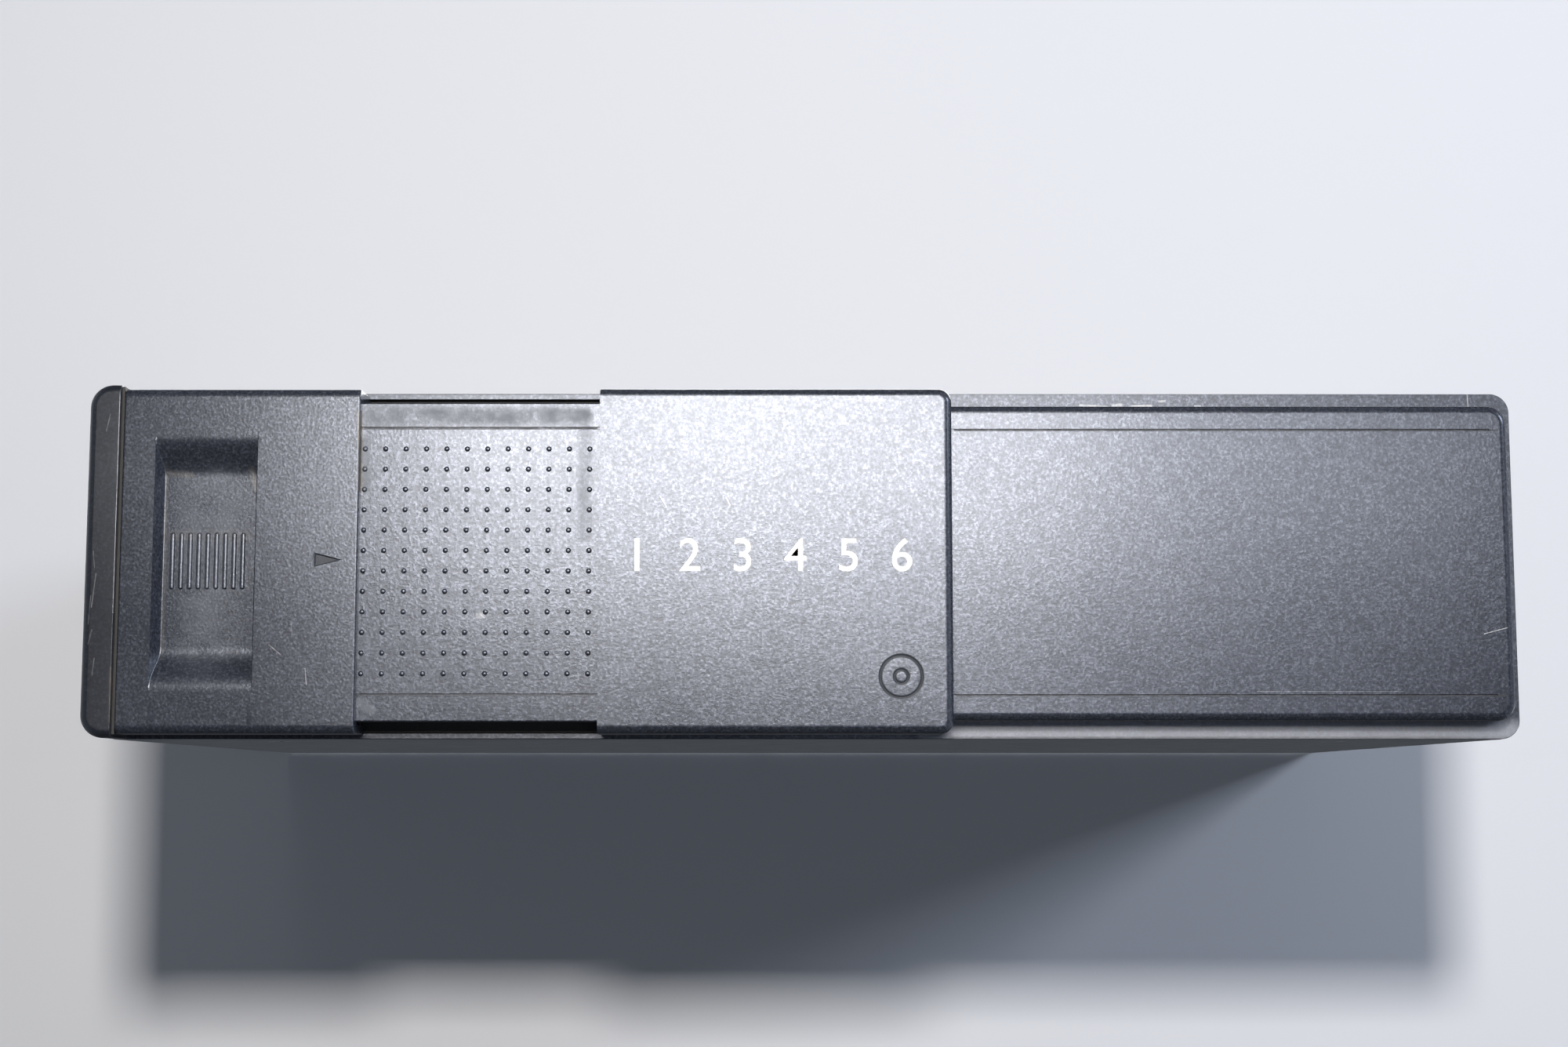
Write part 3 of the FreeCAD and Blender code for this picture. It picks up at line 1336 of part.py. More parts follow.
def clamp_puck():
    """Magnetic puck that turns with the disc."""
    profile = [(0.0, puck_bottom + 1.2), (s.cone_radius + 0.5, puck_bottom + 1.2),
               (s.cone_radius + 0.5, puck_bottom), (s.puck_radius, puck_bottom),
               (s.puck_radius, puck_bottom + 1.4), (3.6, puck_bottom + 1.4),
               (3.6, arm_top + 0.15), (5.6, arm_top + 0.15), (5.6, arm_top + 0.55),
               (0.0, arm_top + 0.55)]
    return finish(turned(profile, spin_x, disc_y), "clamp_puck")


# --- dials, board and socket ---------------------------------------------------------

def angle_dial(side, label):
    """Dial in the side of the case that sets the suspension for the mounting angle."""
    inner = flange_outer - 1.0
    rim = lid_inner - s.bush_gap * 2 - inner
    face = case_side + 0.8
    length = face - inner
    start = inner if side > 0 else -face
    knob = rod("x", start, dial_y, s.dial_z, length, s.dial_radius)
    rim_start = inner if side > 0 else -(inner + rim)
    flange = rod("x", rim_start, dial_y, s.dial_z, rim, s.dial_radius + 1.6)
    slot_from = face - 1.0 if side > 0 else -face - 1.0
    slot = box(slot_from, slot_from + 2.0, dial_y - 1.0, dial_y + 1.0,
               s.dial_z - 6.0, s.dial_z + 6.0)
    return finish(cut(fuse(knob, flange), slot), label)


board_top = s.board_level + s.board_thick
board_left = frame_left + 26.5
board_right = step_left - 21.0
board_front = frame_front + 6.0
board_back = back - 6.0


def board_standoffs():
    """Four posts that hold the main board off the case floor."""
    posts = [rod("z", x, y, s.sheet, s.board_level - s.sheet, 2.5)
             for x in (board_left + 5.0, board_right - 5.0)
             for y in (board_front + 5.0, board_back - 16.0)]
    return finish(group(*posts), "board_standoffs")


def main_board():
    """Main circuit board under the magazine."""
    return finish(box(board_left, board_right, board_front, board_back, s.board_level, board_top),
                  "main_board")


def board_chips():
    """Flat chips soldered on the main board."""
    chips = []
    for i, (across, along, size) in enumerate(((12.0, 20.0, 14.0), (34.0, 24.0, 20.0),
                                               (60.0, 18.0, 10.0), (16.0, 60.0, 12.0),
                                               (42.0, 66.0, 16.0), (62.0, 90.0, 9.0))):
        x = board_left + across
        y = board_front + along
        chips.append(box(x, x + size, y, y + size * (1.0 if i % 2 else 0.7),
                         board_top, board_top + 1.8))
    return finish(group(*chips), "board_chips")


def rear_socket():
    """Multi-way socket on the rear edge of the main board."""
    right = socket_x + s.socket_width
    low_y = back - s.socket_depth
    shell = box(socket_x, right, low_y, back, board_top, board_top + s.socket_height)
    cavity = box(socket_x + s.socket_wall, right - s.socket_wall, back - s.socket_cavity,
                 back + 1.0, board_top + s.socket_wall,
                 board_top + s.socket_height - s.socket_wall)
    return finish(cut(shell, cavity), "rear_socket")


def socket_pins():
    """Two rows of contact pins in the socket."""
    pins = []
    first = socket_x + s.socket_width / 2 - (s.contact_count - 1) * s.contact_pitch / 2
    half = s.contact_width / 2
    for z in (board_top + s.socket_wall + 1.4, board_top + s.socket_height - s.socket_wall - 1.4):
        for i in range(int(SIZES["contact_count"])):
            x = first + i * s.contact_pitch
            pins.append(box(x - half, x + half, back - s.socket_cavity, back - 2.0,
                            z - half, z + half))
    return finish(group(*pins), "socket_pins")


chassis_tray()
top_lid()
case_screws()
front_bezel()
fixed_panel()
door_cover()
door_leaf()
eject_button()
magazine_shell()
for level in range(int(SIZES["tray_count"])):
    tray(level)
    disc(level)
floating_frame()
bay_roof()
damper_boots()
suspension_springs()
guide_posts()
eject_pusher()
pusher_spring()
deck_frame()
tray_hook()
cam_plate()
lift_gear()
lift_shaft()
lift_motor()
lift_motor_pinion()
traverse_plate()
guide_rods()
spindle_motor()
turntable()
pickup_head()
pickup_lens()
sled_gear()
sled_shaft()
sled_motor()
sled_motor_pinion()
clamp_arm()
clamp_pin()
clamp_puck()
angle_dial(-1, "angle_dial_left")
angle_dial(1, "angle_dial_right")
board_standoffs()
main_board()
board_chips()
rear_socket()
socket_pins()

doc.recompute()
for item in doc.Objects:
    if "Invalid" in item.State or "Error" in item.State:
        raise RuntimeError(f"{item.Label} failed: {item.State}")
os.makedirs("parts", exist_ok=True)
for node in nodes:
    shape = node.Shape
    if shape.isNull() or not shape.isValid() or not shape.Solids:
        raise RuntimeError(f"{node.Label} is not a valid solid")
    shape.exportStep(f"parts/{node.Label}.step")
    print(f"{node.Label:20s} solids {len(shape.Solids):2d} volume {shape.Volume:9.1f}")
print("overall", round(overall_width.value, 3), round(overall_depth.value, 3),
      round(overall_height.value, 3), "cover travel", round(cover_travel.value, 3))
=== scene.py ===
import math

import bmesh
import bpy
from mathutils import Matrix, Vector


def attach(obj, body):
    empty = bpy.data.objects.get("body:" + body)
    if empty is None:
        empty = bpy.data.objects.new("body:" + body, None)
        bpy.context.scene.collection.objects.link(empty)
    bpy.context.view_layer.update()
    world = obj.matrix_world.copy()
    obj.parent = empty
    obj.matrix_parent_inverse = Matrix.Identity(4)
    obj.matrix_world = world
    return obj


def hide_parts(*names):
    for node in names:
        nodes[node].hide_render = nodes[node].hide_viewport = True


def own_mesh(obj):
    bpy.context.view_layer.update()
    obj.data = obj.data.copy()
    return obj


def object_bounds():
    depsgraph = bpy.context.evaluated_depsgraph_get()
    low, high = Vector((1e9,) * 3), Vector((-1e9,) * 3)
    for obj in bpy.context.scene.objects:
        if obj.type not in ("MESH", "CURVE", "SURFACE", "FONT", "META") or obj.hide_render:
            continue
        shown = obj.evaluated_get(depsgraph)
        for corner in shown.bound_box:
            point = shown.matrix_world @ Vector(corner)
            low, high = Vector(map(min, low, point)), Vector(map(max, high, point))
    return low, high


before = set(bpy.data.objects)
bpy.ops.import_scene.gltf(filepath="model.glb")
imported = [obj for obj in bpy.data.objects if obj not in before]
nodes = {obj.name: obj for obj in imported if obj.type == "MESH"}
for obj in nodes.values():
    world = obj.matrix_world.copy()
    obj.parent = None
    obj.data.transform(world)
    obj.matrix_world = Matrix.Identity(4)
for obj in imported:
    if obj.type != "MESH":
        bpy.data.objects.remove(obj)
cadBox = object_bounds()
mm = 0.001  # every length below is in millimetres and is turned to metres with this
frontFace = round(cadBox[0][1] / mm, 4)
frontHeight = round(cadBox[1][2] / mm, 4)
middleHeight = frontHeight / 2
print("frame loaded:", len(nodes), "nodes")


def boxOf(name):
    # the lowest and highest x, y and z of a node's own shape, in millimetres, to a tenth of a micron
    spots = [vertex.co / mm for vertex in nodes[name].data.vertices]
    spans = [[p[axis] for p in spots] for axis in range(3)]
    return [(round(min(span), 4), round(max(span), 4)) for span in spans]


def hexColour(text):
    # sRGB hex to the linear values that the shaders work in
    parts = [int(text[i : i + 2], 16) / 255 for i in (1, 3, 5)]
    linear = [c / 12.92 if c <= 0.04045 else ((c + 0.055) / 1.055) ** 2.4 for c in parts]
    return (*linear, 1.0)


def perMetre(size):
    return 1000 / size  # texture scale whose features are that many millimetres across


def addNode(tree, kind, values=None, out=0, **settings):
    # one node with its settings, its sockets set or linked, handing back one of its outputs
    node = tree.nodes.new(kind)
    for key, value in settings.items():
        setattr(node, key, value)
    for key, value in (values or {}).items():
        if isinstance(value, bpy.types.NodeSocket):
            tree.links.new(value, node.inputs[key])
        else:
            node.inputs[key].default_value = value
    return node.outputs[out] if node.outputs else node


def newMaterial(name):
    # an empty material, its node tree, and the place in the object's own metres
    material = bpy.data.materials.new(name)
    material.use_nodes = True
    tree = material.node_tree
    tree.nodes.clear()
    return material, tree, addNode(tree, "ShaderNodeTexCoord", out="Object")


def closeMaterial(tree, values):
    # the shader, with constants on its own sockets, joined to the output
    addNode(tree, "ShaderNodeOutputMaterial", {"Surface": addNode(tree, "ShaderNodeBsdfPrincipled", values)})


# ABS with a little aluminium powder, moulded in a spark-eroded tool: a broad soft glow
# broken by fine bright grains
frontFinish = {
    "colour": "#3c414c",
    "deepColour": "#353a45",
    "pitColour": "#232730",
    "grainColour": "#545965",
    "grainSize": 0.47,  # the real grain is about 0.2 mm, drawn coarser so that it shows
    "grainDepth": 0.021,
    "waveSize": 26,
    "waveDepth": 0.02,  # slight sinking of a thin moulded wall
    "cloudSize": 30,
    "roughness": 0.245,
    "metallic": 0.4,
    "gloss": 0.5,
    "hazeAndSheenColour": "#5c6069",
    "outerFace": frontFace + 5.1,  # how far back the marks of use go
    "patchSize": 5,  # how haze and dirt come and go
    "breakSize": 0.9,  # how scuffs and grime come and go
    "evenness": 0.2,  # least share of the haze that stays in its gaps
    # marks of use: x and z of both ends, half width, strength
    "scuffsAndHighlight": [
        (120.8, 18.6, 125.0, 19.7, 0.09, 0.9),
        (-26.4, 42.9, -25.2, 40.9, 0.1, 0.6),
        (-14.6, 42.6, -13.9, 41.2, 0.12, 0.6),
        (-22.3, 52.0, -21.6, 51.2, 0.12, 0.5),
        (-95.4, 16.4, -93.2, 14.6, 0.08, 0.45),
        (-88.9, 12.2, -88.6, 9.4, 0.1, 0.4),
        (-91.6, 20.6, -91.3, 18.2, 0.1, 0.25),
        (-74.4, 60.4, -71.2, 60.9, 0.28, 0.4),
        (80.0, 8.3, 106.0, 8.3, 0.07, 0.3),
        (-58.6, 21.7, -58.0, 21.7, 0.8, 0.16),
    ],
    # near-black lines along the leaf plate's and the panel's grooves
    "darkLines": [
        (-79.6, 55.4, -37.9, 55.4, 0.2, 0.8),
        (-79.6, 7.6, -37.9, 7.6, 0.2, 0.6),
        (26.5, 55.4, 124.4, 55.4, 0.2, 0.85),
        (26.5, 7.6, 124.4, 7.6, 0.2, 0.85),
    ],
    "dirt": [
        (-80.25, 58.0, -80.0, 44.0, 0.5, 0.55),
        (-115.0, 49.0, -114.8, 14.0, 0.5, 0.22),
        (-114.6, 47.4, -110.5, 47.0, 0.9, 0.25),
        (-99.8, 48.0, -98.8, 44.5, 0.8, 0.4),
        (-113.4, 36.0, -100.4, 36.0, 1.6, 0.12),
        (-122.2, 8.0, -122.0, 3.0, 0.4, 0.25),
    ],
    "hazeAndSheen": [
        (-107.2, 16.0, -107.2, 44.0, 8.4, 0.25),
        (-78.0, 57.6, -40.5, 57.6, 2.6, 1.0),
        (-79.4, 53.0, -79.2, 44.0, 1.3, 0.6),
        (-40.0, 58.0, -39.9, 36.0, 1.9, 0.45),
        (-79.2, 6.2, -77.6, 5.0, 1.2, 0.5),
    ],
}
unmarked = {"scuffsAndHighlight": [], "darkLines": [], "dirt": [], "hazeAndSheen": []}
# the same ABS where hands have rubbed it: a little smoother and more even; the pale band along its bottom
# flange is a painted reflection
railFinish = {
    **frontFinish,
    "colour": "#3a3f4a",
    "deepColour": "#343944",
    "grainDepth": 0.012,
    "roughness": 0.32,
    "metallic": 0.38,
    # pale grey for the painted reflection on the bottom flange
    "hazeAndSheenColour": "#a3a7b1",
    "outerFace": frontFace + 12.6,
    "evenness": 0.8,
    "scuffsAndHighlight": [
        (50.0, 60.9, 55.0, 60.6, 0.3, 0.28),
        (56.0, 60.8, 57.5, 61.0, 0.4, 0.3),
        (59.5, 60.7, 63.0, 60.8, 0.35, 0.34),
        (64.5, 61.6, 65.5, 61.7, 0.3, 0.3),
        (71.0, 60.8, 72.0, 60.8, 0.2, 0.4),
        (121.0, 62.9, 121.1, 60.5, 0.12, 0.6),
    ],
    # a near-black line along the flange's foot
    "darkLines": [(26.0, 0.2, 126.0, 0.2, 0.35, 0.8)],
    "dirt": [],
    # a pale even band over the bottom flange: a painted reflection, not haze
    "hazeAndSheen": [(22.0, 1.2, 127.0, 1.2, 3.4, 0.5)],
}
# the floors of the pointer and the rings, polished in the tool: they read darker than the grain around them
sunkFinish = {
    **frontFinish,
    **unmarked,
    "colour": "#31363f",
    "deepColour": "#2d323b",
    "pitColour": "#292d35",
    "grainColour": "#363b44",
    "grainDepth": 0.004,
    "roughness": 0.42,
    "metallic": 0.1,
    "gloss": 0.25,
}
# the end cap, polished in the tool: darker, closed and smooth, scratched on its round edge, with a painted
# highlight line along its right edge
capFinish = {
    **frontFinish,
    **unmarked,
    "colour": "#272b34",
    "deepColour": "#21252e",
    "pitColour": "#1d2028",
    "grainColour": "#30343d",
    "grainDepth": 0.005,
    "roughness": 0.28,
    "metallic": 0.35,
    "scuffsAndHighlight": [
        # a thin bright line down the cap's right edge: a painted highlight drawn as a scuff
        (-122.98, 61.0, -122.98, 22.0, 0.1, 0.25),
        (-126.2, 29.0, -126.8, 23.0, 0.12, 0.3),
        (-127.0, 25.0, -127.3, 20.0, 0.1, 0.25),
        (-126.6, 19.0, -127.2, 16.5, 0.16, 0.2),
        (-124.6, 57.5, -125.2, 54.5, 0.14, 0.2),
        (-126.8, 33.0, -126.5, 30.0, 0.08, 0.25),
        (-126.0, 14.0, -126.3, 11.0, 0.12, 0.25),
    ],
    "dirt": [(-122.9, 12.0, -122.7, 3.0, 0.7, 0.4)],
}
# the guide slots: the same plastic, dull and nearly black, a painted shade that stands in for the dark of the
# deep slots
slotShadeFinish = {
    **frontFinish,
    **unmarked,
    "colour": "#15161a",
    "deepColour": "#0f1013",
    "pitColour": "#0a0a0c",
    "grainColour": "#1a1b1f",
    "grainDepth": 0.02,
    "roughness": 0.62,
    "metallic": 0.0,
}
# each kind of mark, real wear or painted light, laid on in this order: its full-strength share, its texture,
# and how much duller it is
markKinds = {
    "darkLines": {"core": 0.4, "texture": "broken", "duller": 0.3, "colour": "#14161a"},
    # on the front this is real haze; on the rails this pale colour is a painted reflection on the bottom
    # flange
    "hazeAndSheen": {"core": 0.2, "texture": "patchy", "duller": 0.4},  # in the finish's own haze colour
    "dirt": {"core": 0.0, "texture": "patchy", "duller": 0.3, "colour": "#6a6252"},
    # this pale colour draws real scuffs and also the painted highlight on the cap's right edge
    "scuffsAndHighlight": {"core": 0.3, "texture": "broken", "duller": 0.1, "colour": "#b4b6ba"},
}


def markStrength(tree, place, marks, core, back):
    # how strongly each point carries marks: the nearest point of each line across the face is found
    across = addNode(tree, "ShaderNodeSeparateXYZ", {"Vector": place}).node.outputs
    flat = addNode(tree, "ShaderNodeCombineXYZ", {"X": across["X"], "Z": across["Z"]})
    marking = None
    for x0, z0, x1, z1, width, strength in marks:
        start, along = Vector((x0, 0, z0)) * mm, Vector((x1 - x0, 0, z1 - z0)) * mm
        gone = addNode(tree, "ShaderNodeVectorMath", {0: flat, 1: start}, operation="SUBTRACT")
        scaled = {0: gone, 1: along / along.length_squared}
        share = addNode(tree, "ShaderNodeVectorMath", scaled, "Value", operation="DOT_PRODUCT")
        share = addNode(tree, "ShaderNodeClamp", {"Value": share})
        near = addNode(tree, "ShaderNodeVectorMath", {0: along, 3: share}, operation="SCALE")
        away = addNode(tree, "ShaderNodeVectorMath", {0: gone, 1: near}, "Value", operation="DISTANCE")
        line = addNode(
            tree, "ShaderNodeMapRange", {0: away, 1: core * width * mm, 2: width * mm, 3: strength, 4: 0.0},
            interpolation_type="SMOOTHSTEP",
        )
        if marking is None:
            marking = line
        else:
            marking = addNode(tree, "ShaderNodeMath", {0: marking, 1: line}, operation="MAXIMUM")
    # only the outer face carries them
    reach = {0: across["Y"], 1: (back - 0.2) * mm, 2: back * mm, 3: 1.0, 4: 0.0}
    outside = addNode(tree, "ShaderNodeMapRange", reach)
    return addNode(tree, "ShaderNodeMath", {0: marking, 1: outside}, operation="MULTIPLY")


def withMarks(tree, place, finish, body, rough):
    # the colour and roughness with each kind of mark laid over them, broken up by noise
    broken = addNode(
        tree, "ShaderNodeTexNoise", {"Vector": place, "Scale": perMetre(finish["breakSize"]), "Detail": 2}
    )
    broken = addNode(tree, "ShaderNodeMapRange", {0: broken, 1: 0.36, 2: 0.6, 3: 0.55, 4: 1.0})
    patchy = addNode(
        tree, "ShaderNodeTexNoise",
        {"Vector": place, "Scale": perMetre(finish["patchSize"]), "Detail": 5, "Roughness": 0.65},
    )
    patchy = addNode(tree, "ShaderNodeMapRange", {0: patchy, 1: 0.34, 2: 0.66, 3: finish["evenness"], 4: 1.0})
    textures = {"broken": broken, "patchy": patchy}
    for kind, look in markKinds.items():
        if not finish[kind]:
            continue
        colour = hexColour(look.get("colour", finish["hazeAndSheenColour"]))
        marking = markStrength(tree, place, finish[kind], look["core"], finish["outerFace"])
        marking = addNode(tree, "ShaderNodeMath", {0: marking, 1: textures[look["texture"]]}, operation="MULTIPLY")
        body = addNode(tree, "ShaderNodeMix", {0: marking, 6: body, 7: colour}, 2, data_type="RGBA")
        added = {0: marking, 1: look["duller"], 2: rough}
        rough = addNode(tree, "ShaderNodeMath", added, operation="MULTIPLY_ADD")
    return body, rough


def sparkErodedAbs(name, finish):
    # one fine grain drives the pits, the peaks and the relief, and wider noise the body's colour and gloss
    material, tree, place = newMaterial(name)
    grain = addNode(
        tree, "ShaderNodeTexNoise",
        {"Vector": place, "Scale": perMetre(finish["grainSize"]), "Detail": 2.5, "Roughness": 0.62},
    )
    wide = {"Vector": place, "Scale": perMetre(finish["waveSize"]), "Detail": 1}
    wave = addNode(tree, "ShaderNodeTexNoise", wide)
    soft = {"Vector": place, "Scale": perMetre(finish["cloudSize"]), "Detail": 4}
    cloud = addNode(tree, "ShaderNodeTexNoise", soft)
    cloud = addNode(tree, "ShaderNodeMapRange", {0: cloud, 1: 0.3, 2: 0.7})
    tones = {key: hexColour(finish[key]) for key in ("colour", "deepColour", "pitColour", "grainColour")}
    mixed = {0: cloud, 6: tones["deepColour"], 7: tones["colour"]}
    body = addNode(tree, "ShaderNodeMix", mixed, 2, data_type="RGBA")
    pits = addNode(tree, "ShaderNodeMapRange", {0: grain, 1: 0.38, 2: 0.5, 3: 0.7, 4: 0.0})
    body = addNode(tree, "ShaderNodeMix", {0: pits, 6: body, 7: tones["pitColour"]}, 2, data_type="RGBA")
    peaks = addNode(tree, "ShaderNodeMapRange", {0: grain, 1: 0.54, 2: 0.66, 3: 0.0, 4: 0.8})
    body = addNode(tree, "ShaderNodeMix", {0: peaks, 6: body, 7: tones["grainColour"]}, 2, data_type="RGBA")
    rough = addNode(
        tree, "ShaderNodeMapRange",
        {0: cloud, 1: 0.0, 2: 1.0, 3: finish["roughness"] - 0.02, 4: finish["roughness"] + 0.03},
    )
    body, rough = withMarks(tree, place, finish, body, rough)
    sinking = {"Height": wave, "Strength": 1.0, "Distance": finish["waveDepth"] * mm}
    sunk = addNode(tree, "ShaderNodeBump", sinking)
    relief = {"Height": grain, "Strength": 1.0, "Distance": finish["grainDepth"] * mm, "Normal": sunk}
    normal = addNode(tree, "ShaderNodeBump", relief)
    closeMaterial(
        tree,
        {
            "Base Color": body,
            "Metallic": finish["metallic"],
            "Roughness": rough,
            "Normal": normal,
            "Specular IOR Level": finish["gloss"],
        },
    )
    return material


frontAbs = sparkErodedAbs("sparkErodedAbs", frontFinish)
# the rails' finish, with a painted reflection on the bottom flange
railAbs = sparkErodedAbs("rubbedAbsPaintedSheen", railFinish)
capAbs = sparkErodedAbs("polishedAbs", capFinish)
sunkAbs = sparkErodedAbs("polishedSunkAbs", sunkFinish)
# near-black painted shade for the guide slots and the stop rib
slotShadeAbs = sparkErodedAbs("paintedSlotShadeAbs", slotShadeFinish)
print("front finishes made")


# plain finishes for the rest: two tones and their pattern size, then the relief and its size, in millimetres
finishes = {
    # hot-dip zinc on steel: pale crystals of differing brightness
    "zinc_steel": {
        "name": "spangledZincSteel", "colour": "#a3a6a8", "other": "#8f9295", "size": 4.5, "metallic": 0.75,
        "roughness": 0.4, "bump": 0.004, "bumpSize": 1.2, "crystals": True,
    },
    # baked epoxy powder on steel: a faint orange peel, chipped to bare steel along the edges
    "black_steel": {
        "name": "powderCoatedSteel", "colour": "#26272a", "other": "#1d1e20", "size": 40, "metallic": 0.0,
        "roughness": 0.46, "bump": 0.03, "bumpSize": 0.9,
        # the folded lid's corners
        "marking": {
            "low": (-126.9, -69.7, 0.4), "high": (126.9, 82.5, 62.6),
            "width": 0.7, "chipSize": 4, "colour": "#8e9092",
        },
    },
    # bright zinc on cut threads: a hard yellowish glint
    "screw_steel": {
        "name": "zincPlatedScrewSteel", "colour": "#b5b2a8", "other": "#8f8c82", "size": 3, "metallic": 1.0,
        "roughness": 0.3, "bump": 0.004, "bumpSize": 0.3,
    },
    # ABS with carbon black: fine matt mould texture
    "black_plastic": {
        "name": "mattBlackAbs", "colour": "#1d1e21", "other": "#26272a", "size": 25, "metallic": 0.0,
        "roughness": 0.52, "bump": 0.012, "bumpSize": 0.3,
    },
    # grey polystyrene: even, with a soft sheen
    "tray_plastic": {
        "name": "greyPolystyrene", "colour": "#3c3e42", "other": "#46484c", "size": 30, "metallic": 0.0,
        "roughness": 0.42, "bump": 0.006, "bumpSize": 0.5,
    },
    # moulded rubber: dull and nearly black
    "rubber": {
        "name": "mouldedRubber", "colour": "#19191a", "other": "#232324", "size": 12, "metallic": 0.0,
        "roughness": 0.78, "bump": 0.02, "bumpSize": 0.4,
    },
    # drawn wire: long bright glints along each coil
    "spring_steel": {
        "name": "drawnSpringSteel", "colour": "#8b8c8c", "other": "#6f7172", "size": 4, "metallic": 1.0,
        "roughness": 0.32, "bump": 0.003, "bumpSize": 0.3,
    },
    # uncoloured acetal: waxy, slightly yellow
    "white_acetal": {
        "name": "naturalAcetal", "colour": "#dedcd2", "other": "#d2cfc2", "size": 18, "metallic": 0.0,
        "roughness": 0.36, "bump": 0.004, "bumpSize": 0.6,
    },
    # turned and nickel plated: clean and bright
    "motor_steel": {
        "name": "turnedNickelSteel", "colour": "#b9b9b6", "other": "#9d9d9a", "size": 10, "metallic": 1.0,
        "roughness": 0.26, "bump": 0.002, "bumpSize": 0.2,
    },
    # hobbed brass: warm bright teeth
    "brass": {
        "name": "hobbedBrass", "colour": "#c7a252", "other": "#a98440", "size": 3, "metallic": 1.0,
        "roughness": 0.3, "bump": 0.003, "bumpSize": 0.2,
    },
    # solder mask over copper: smooth green
    "board": {
        "name": "solderMaskedBoard", "colour": "#1d5a34", "other": "#17492b", "size": 6, "metallic": 0.0,
        "roughness": 0.3, "bump": 0.01, "bumpSize": 0.6,
    },
    # moulded epoxy: matt black
    "chip": {
        "name": "mouldedEpoxy", "colour": "#202124", "other": "#2a2b2d", "size": 4, "metallic": 0.0,
        "roughness": 0.6, "bump": 0.006, "bumpSize": 0.15,
    },
    # tin plate: soft and bright
    "contact": {
        "name": "tinPlatedContact", "colour": "#c9c6bc", "other": "#aaa79c", "size": 3, "metallic": 1.0,
        "roughness": 0.28, "bump": 0.002, "bumpSize": 0.2,
    },
    # grey acetal: smooth and waxy
    "dial_plastic": {
        "name": "greyAcetal", "colour": "#3a3c41", "other": "#44464b", "size": 10, "metallic": 0.0,
        "roughness": 0.44, "bump": 0.008, "bumpSize": 0.3,
    },
    # polished acrylic: glossy and blue
    "lens": {
        "name": "polishedAcrylic", "colour": "#8fa7c4", "other": "#7c95b6", "size": 4, "metallic": 0.0,
        "roughness": 0.05, "bump": 0.0005, "bumpSize": 1.0,
    },
    # aluminium behind polycarbonate: close to a mirror
    "disc": {
        "name": "aluminisedPolycarbonate", "colour": "#c9ccd3", "other": "#b7bbc4", "size": 30,
        "metallic": 1.0, "roughness": 0.16, "bump": 0.0005, "bumpSize": 2.0,
    },
}


def edgeChips(tree, place, edges):
    # bare patches where two or more sides of the box from low to high are close
    where = addNode(tree, "ShaderNodeSeparateXYZ", {"Vector": place}).node.outputs
    near = None
    for axis, (low, high) in enumerate(zip(edges["low"], edges["high"])):
        middle, half = (low + high) / 2, (high - low) / 2
        away = addNode(tree, "ShaderNodeMath", {0: where[axis], 1: middle * mm}, operation="SUBTRACT")
        away = addNode(tree, "ShaderNodeMath", {0: away}, operation="ABSOLUTE")
        share = addNode(tree, "ShaderNodeMapRange", {0: away, 1: (half - edges["width"]) * mm, 2: half * mm})
        if near is None:
            near = share
        else:
            near = addNode(tree, "ShaderNodeMath", {0: near, 1: share}, operation="ADD")
    near = addNode(tree, "ShaderNodeMapRange", {0: near, 1: 1.2, 2: 1.8})
    chips = addNode(
        tree, "ShaderNodeTexNoise",
        {"Vector": place, "Scale": perMetre(edges["chipSize"]), "Detail": 6, "Roughness": 0.7},
    )
    chips = addNode(tree, "ShaderNodeMapRange", {0: chips, 1: 0.5, 2: 0.58})
    return addNode(tree, "ShaderNodeMath", {0: near, 1: chips}, operation="MULTIPLY")


def plainFinish(finish):
    # body colour in two close tones, fine relief, and roughness that varies with it
    material, tree, place = newMaterial(finish["name"])
    spread = {"Vector": place, "Scale": perMetre(finish["size"])}
    if finish.get("crystals"):
        pattern = addNode(tree, "ShaderNodeTexVoronoi", spread, "Color")
        pattern = addNode(tree, "ShaderNodeSeparateColor", {"Color": pattern})
    else:
        pattern = addNode(tree, "ShaderNodeTexNoise", spread)
        pattern = addNode(tree, "ShaderNodeMapRange", {0: pattern, 1: 0.3, 2: 0.7})
    body = addNode(
        tree, "ShaderNodeMix", {0: pattern, 6: hexColour(finish["colour"]), 7: hexColour(finish["other"])}, 2,
        data_type="RGBA",
    )
    metallic = finish["metallic"]
    if "marking" in finish:
        metallic = edgeChips(tree, place, finish["marking"])
        bare = hexColour(finish["marking"]["colour"])
        body = addNode(tree, "ShaderNodeMix", {0: metallic, 6: body, 7: bare}, 2, data_type="RGBA")
    close = {"Vector": place, "Scale": perMetre(finish["bumpSize"]), "Detail": 3}
    fine = addNode(tree, "ShaderNodeTexNoise", close)
    low, high = finish["roughness"] - 0.05, finish["roughness"] + 0.05
    rough = addNode(tree, "ShaderNodeMapRange", {0: fine, 1: 0.3, 2: 0.7, 3: low, 4: high})
    bump = addNode(tree, "ShaderNodeBump", {"Height": fine, "Strength": 0.6, "Distance": finish["bump"] * mm})
    closeMaterial(tree, {"Base Color": body, "Metallic": metallic, "Roughness": rough, "Normal": bump})
    return material


materials = {slot: plainFinish(finish) for slot, finish in finishes.items()}
materials["front_moulding"] = frontAbs
print("materials made:", len(materials))


def assign(obj, material):
    # the node keeps its mesh, only the finish in its slots changes
    if not obj.material_slots:
        obj.data.materials.append(material)
    for index in range(len(obj.material_slots)):
        obj.material_slots[index].material = material


slotOf = {name: obj.material_slots[0].material.name.split(".")[0] for name, obj in nodes.items()}
for name, obj in nodes.items():
    assign(obj, materials[slotOf[name]])
print("finishes on the frame's nodes")


